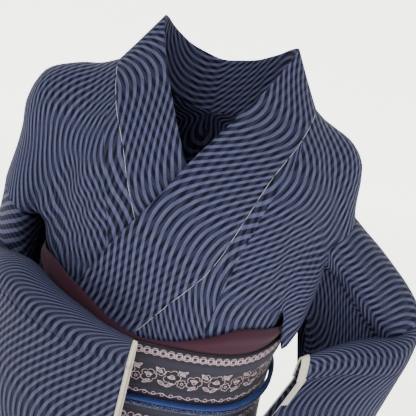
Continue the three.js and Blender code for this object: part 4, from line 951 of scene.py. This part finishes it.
def leaf(across, along, middle, repeat, size, shift, slant):
    x, y = from_centre(across, along, middle, repeat, shift)
    a = x * math.cos(slant) + y * math.sin(slant)
    b = y * math.cos(slant) - x * math.sin(slant)
    shape = abs(b) - (1 - (a / size) ** 2) * (size * 0.36)
    within = 1 - abs(a / size).ramp(0.98, 1.02)
    return outline(shape, 0.2) * within, outline(b, 0.1) * within


def ringlet(across, along, middle, repeat, size, shift):
    x, y = from_centre(across, along, middle, repeat, shift)
    return outline((x * x + y * y) ** 0.5 - size)


def wave(across, along, middle, swing, shift, step):
    return outline((along - middle - (across * (2 * math.pi / step) + shift).sine() * swing) * 0.75)


def belt_cloth(name, figured):
    material, across, along, place = start_cloth(name)
    grain = place.noise(1.1, 2.0)
    height = weave(across, along, 5.2) * 0.25 + grain * 0.4
    if not figured:
        return finish_cloth(material, place.mix(grain * 0.6, SLATE, DEEP), height, 0.62, 0.4, 0.1)
    flowers = [flower(across, along, *row) for row in FLOWERS]
    drawn = [part for row in flowers for part in row[:2]]
    drawn += [part for row in LEAVES for part in leaf(across, along, *row)]
    drawn += [ringlet(across, along, *row) for row in RINGLETS]
    drawn += [wave(across, along, *row) for row in WAVES]
    thread = sum(drawn).smaller(1.0)
    band = sum(1 - abs(along - middle).ramp(full, gone) for middle, full, gone in BANDS)
    ground = place.mix(grain * 0.5 + band.smaller(1.0) * 0.35, SLATE, DEEP)
    ground = place.mix(sum(row[2] for row in flowers).smaller(1.0) * 0.75, ground, DEEP)
    colour = place.mix(thread * (0.72 + 0.28 * grain), ground, PINK)
    return finish_cloth(material, colour, height + thread * 1.2, 0.62 - thread * 0.15, 0.45, 0.1)


belt_weave, belt_plain = belt_cloth("belt_weave", True), belt_cloth("belt_plain", False)
print("motifs on the belt:", len(FLOWERS) + len(LEAVES) + len(RINGLETS) + len(WAVES))

# %% Belt, with its opening for the scarf
OBI_COLUMNS = 40
SCARF_CLOTH, SCARF_TUCKED = 2.2, 20


def belt_top(degrees):
    start = np.where(np.asarray(degrees) < 0, 10, 25)
    return OBI_TOP + OBI_RISE * smooth(start, start + 75, np.abs(degrees))


def belt_level(degrees):
    return OBI_INSIDE + (OBI_INSIDE_BACK - OBI_INSIDE) * smooth(66, 100, np.abs(degrees))


degrees_round = np.linspace(-180, 180, OBI_COLUMNS * 4 + 1)
belt_rows = [(0, 1), (7, 1), (SCARF_TUCKED, 1), (28, 0.5), (SCARF_TUCKED + 16, 0),
             *((down, 0) for down in (55, 75, 95, 115, 132, OBI_HEIGHT))]
belt = np.array([ring_point(belt_top(degrees_round) - down, degrees_round,
                            belt_level(degrees_round) + opened * (SCARF_CLOTH + GAP) + OBI_CLOTH / 2)
                 for down, opened in belt_rows])
fine_belt = finer(belt, 3, 1)
cloth_piece("cloth_obi", fine_belt, cloth_places(fine_belt, 0, OBI_COLUMNS * 2), belt_weave, 2.4,
            ["obi"], ("folded", ["body_right", "body_left"]))

# %% [markdown]
# The scarf is a length of fine crepe folded along the belt's top edge, with its lower
# edge pushed down behind the belt. Long soft pleats run along it, deeper towards the
# sides, where it is pulled round to the back.

# %% Scarf
SCARF_TOP = np.array([  # degrees round the body, height
    (-180, -246), (-100, -243), (-85, -245), (-55, -240), (-38, -251), (-28, -262), (-18, -277), (-4, -289),
    (15, -273), (28, -260), (44, -261), (70, -264), (100, -246), (180, -246)], float)
crepe = plain_cloth("scarf_crepe", dye(57, 27, 41), dye(40, 19, 30), 0.85, 0.08, 0.8)
scarf_top = through(SCARF_TOP[:, 1], np.interp(degrees_round, SCARF_TOP[:, 0], np.arange(len(SCARF_TOP))))
scarf_rows = []
for up in np.linspace(1, -1, 26):
    base = belt_top(degrees_round)
    height = scarf_top - base - 1
    z = base + 1 + height * up if up >= 0 else base + (SCARF_TUCKED - 2) * up
    swell = 3.2 * np.sin(math.pi * np.clip(up, 0, 1)) ** 0.8 * np.clip(height / 20, 0.2, 1)
    pleat = 0.7 * np.sin(np.clip(up, 0, 1) * 9.5 + degrees_round / 26) * smooth(6, 30, height)
    scarf_rows.append(ring_point(z, degrees_round, belt_level(degrees_round) + SCARF_CLOTH / 2 + swell
                                 + pleat * (up > 0)))
scarf = np.array(scarf_rows)
cloth_piece("cloth_obiage", scarf, cloth_places(scarf, 0, OBI_COLUMNS * 2), crepe, 1.0,
            ["obiage"], ("folded", ["obi"]))

# %% [markdown]
# The cord that holds the knot: two braids side by side, the upper one blue and
# the lower one darker with pale flecks. Each braid is a tube swept along the cord's
# route, with the braid's ribs as real relief and painted shade in the grooves between them.

# %% Cord
CORD_DEPTH, CORD_FLATNESS, KNOT_AT = 5, 0.86, 7
BACK_FACE = 100 + OBI_INSIDE_BACK + OBI_CLOTH  # 100 is the trunk's depth behind the belt
HAND_Y = BACK_FACE + 6.2
CORD_BACK = [(157, -78), (174.6, -25), (177.4, -13.6), (173.6, -7.8), (162, -6.2), (120, -1.5), (80, 2.3),
             (40, 4.6), (0, 5.4)]


def cord_path():
    degrees = np.arange(-90, 91, 10)
    front = ring_point(belt_top(degrees) - OBI_HEIGHT / 2, degrees,
                       belt_level(degrees) + OBI_CLOTH + 3 * GAP + CORD_DEPTH / 2)
    z = float(belt_top(90)) - OBI_HEIGHT / 2
    behind = [(x, HAND_Y + y, z) for x, y in CORD_BACK]
    mirrored = [(-x, y, z) for x, y, z in behind[::-1]][1:]
    behind[0] = (CORD_BACK[0][0] - 9, *behind[0][1:])
    return np.concatenate([front, behind, mirrored])


def tube(name, core, side, up, reach, angle, places, material, node):
    """A tube round a line of points. side and up give its round at each point."""
    grid = core[:, None] + side[:, None] * (reach * np.cos(angle))[..., None] \
        + up * (reach * np.sin(angle))[..., None]
    places = np.stack(np.broadcast_arrays(*places), -1)
    mesh_piece(name, grid, grid_faces(*grid.shape[:2]), material, [node], places)


def braid(name, up, radius, material, turns, steps=900, sides=14):
    path = cord_path()
    loop = np.concatenate([path[-2:], path, path[:3]])
    middle = through(loop, 2 + np.arange(steps + 1) / steps * len(path))
    out = unit(np.cross(np.gradient(middle, axis=0), UP))
    angle = np.linspace(0, 2 * math.pi, sides + 1)
    run = lengths(middle[:, None], 0)
    ribs = 0.22 * (np.abs(np.sin(run * turns + angle * 2)) + np.abs(np.sin(run * turns - angle * 2)))
    tube(name, middle + UP * up, out * CORD_FLATNESS, UP, radius + ribs - 0.2, angle,
         (angle * radius, run), material, "obijime")
    print(f"{name}: {run[-1, 0]:.0f} mm round the belt")


def braid_silk(name, colour, deep, fleck, amount):
    material, across, along, place = start_cloth(name)
    rib = sum(abs((along * 1.15 + across * way).sine()) * 0.5 for way in (1.3, -1.3))
    spots = place.noise(0.8, 2.0).ramp(0.62 - amount, 0.66 - amount)
    # painted shade: the grooves between the ribs take the deep colour, and the ribs' tops take the braid's
    # own colour
    colour = place.mix(spots * rib, place.mix(rib, deep, colour), fleck)
    return finish_cloth(material, colour, rib, 0.42, 0.5, 0.1)


# the second colour of each braid is the painted shade in the grooves between its ribs
blue_silk = braid_silk("braid_blue", dye(15, 40, 100), dye(7, 18, 54), dye(36, 62, 124), 0.0)
navy_silk = braid_silk("braid_navy", dye(14, 27, 66), dye(7, 12, 36), dye(150, 154, 164), 0.03)
braid("cloth_cord_upper", 6.6, 3.0, blue_silk, 1.1)
braid("cloth_cord_lower", 0.4, 3.1, navy_silk, 1.3)


# %% The cord's knot
def knot_strand(name, turn):
    path = cord_path()
    along = unit(path[KNOT_AT - 1] - path[KNOT_AT + 1])
    out = unit(np.cross(UP, along))
    t, a = np.linspace(0, 2 * math.pi, 121)[:, None], np.linspace(0, 2 * math.pi, 15)
    core = path[KNOT_AT] + out * (CORD_DEPTH / 2 + GAP + 6) + along * np.cos(t + turn) * 10 \
        + UP * np.sin(2 * t + turn) * 5 + out * np.cos(3 * t) * 1.6
    way = unit(np.gradient(core, axis=0))
    side = unit(np.cross(way, out))
    tube(name, core, side, np.cross(side, way)[:, None], np.array([[3.0]]), a, (a * 3, t * 12), blue_silk,
         "obijime_knot")


knot_strand("cloth_cord_knot", 0.3)
print("the cord is tied in front")

# %% [markdown]
# Behind, the belt is tied in a drum: the cloth goes up over a pad, falls in a broad
# face and is folded up inside, and the belt's other end lies across it. The tail
# hangs below. Each is one sheet given by its profile from the side.

# %% Drum, hand end and tail
DRUM = [(0, -296, 78), (0, -266, 96), (5, -240, 120), (14, -216, 142), (28, -196, 151), (48, -185, 152),
        (68, -194, 152), (82, -222, 152), (90, -280, 152), (90, -340, 151), (82, -396, 150),
        (72, -424, 150), (60, -430, 150), (52, -418, 149), (50, -380, 148)]
HAND = [(6.2, -301, 171), (6.2, -330, 171), (7.1, -360, 171), (8.9, -390, 171)]
TAIL = [(2.2, -330, 146), (3.2, -370, 146), (5.5, -400, 146), (8, -418, 146), (14, -442, 146),
        (19, -470, 146), (21, -503, 146)]
BOW = 14 / 171 ** 2
DRUM_Y = SCARF_CLOTH + 2 * GAP + OBI_CLOTH / 2


def back_piece(name, profile, y, node, held, rows=5):
    across = np.linspace(-1, 1, 9)
    grid = np.array([[(half * a, BACK_FACE + y + depth - BOW * (half * a) ** 2, z) for a in across]
                     for depth, z, half in profile])
    fine = finer(grid, rows, 4)
    places = cloth_places(fine, 0, len(fine[0]) // 2)
    soft = 0.9 * np.sin(places[..., 0] / 31 + places[..., 1] / 47) * np.sin(places[..., 1] / 26)
    ends = np.sin(math.pi * np.linspace(0, 1, len(fine)))[:, None]
    fine = fine + normals(fine) * (soft * ends)[..., None]
    places = places[..., ::-1].copy()
    places[..., 1] = places[..., 1] % OBI_HEIGHT
    cloth_piece(name, fine, places, belt_plain, 2.4, [node], held)


back_piece("cloth_obi_drum", DRUM, DRUM_Y, "obi_drum", ("folded", ["obi"]))
back_piece("cloth_obi_hand", HAND, 0, "obi_hand", ("folded", ["obi_tail"]))
back_piece("cloth_obi_tail", TAIL, 0, "obi_tail", ("folded", ["obi"]))

# %% [markdown]
# Long white basting threads still run along both collar seams, as a maker leaves them
# to keep the seams flat. They are thin tubes in long, uneven stitches that lie just
# on the cloth.

# %% Basting threads
STITCHES, STITCH_GAP, THREAD = [26, 19, 33, 22, 29], 3.0, 0.36
THREAD_ENDS = {"right": -178, "left": -290}  # z where each thread passes out of sight


def stitches(name, line):
    sums = lengths(line[:, None], 0)[:, 0]
    vertices, faces, at = [], [], 4.0
    for long in STITCHES * 40:
        if at + long > sums[-1]:
            break
        run = np.linspace(at, at + long, 7)
        p = np.stack([np.interp(run, sums, line[:, c]) for c in range(3)], -1)
        n = unit(slope(p))
        p = p + n * (0.6 + 0.7 * np.sin(np.linspace(0, math.pi, 7)))[:, None]
        side = unit(np.cross(np.gradient(p, axis=0), n))
        base = len(vertices)
        for q, s, m in zip(p, side, n):
            for a in (0, 2.1, 4.2):
                vertices.append(q + THREAD / 2 * (s * math.cos(a) + m * math.sin(a)))
        faces += [(base + i + j, base + i + (j + 1) % 3, base + i + 3 + (j + 1) % 3, base + i + 3 + j)
                  for i in range(0, 18, 3) for j in range(3)]
        faces += [(base, base + 1, base + 2), (base + 20, base + 19, base + 18)]
        at += long + STITCH_GAP
    mesh_piece(name, vertices, faces, thread_cotton)


thread_cotton = plain_cloth("basting_cotton", dye(214, 212, 206), dye(178, 178, 178), 0.8)
for key in bodies:
    half = fine_collar[:nape_row + 1] if key == "right" else fine_collar[nape_row:][::-1]
    keep = (half[:, 0, 1] < -8) & (half[:, 0, 2] > THREAD_ENDS[key])
    stitches("basting_" + key, half[keep][:, 0])
print("threads along both collar seams")
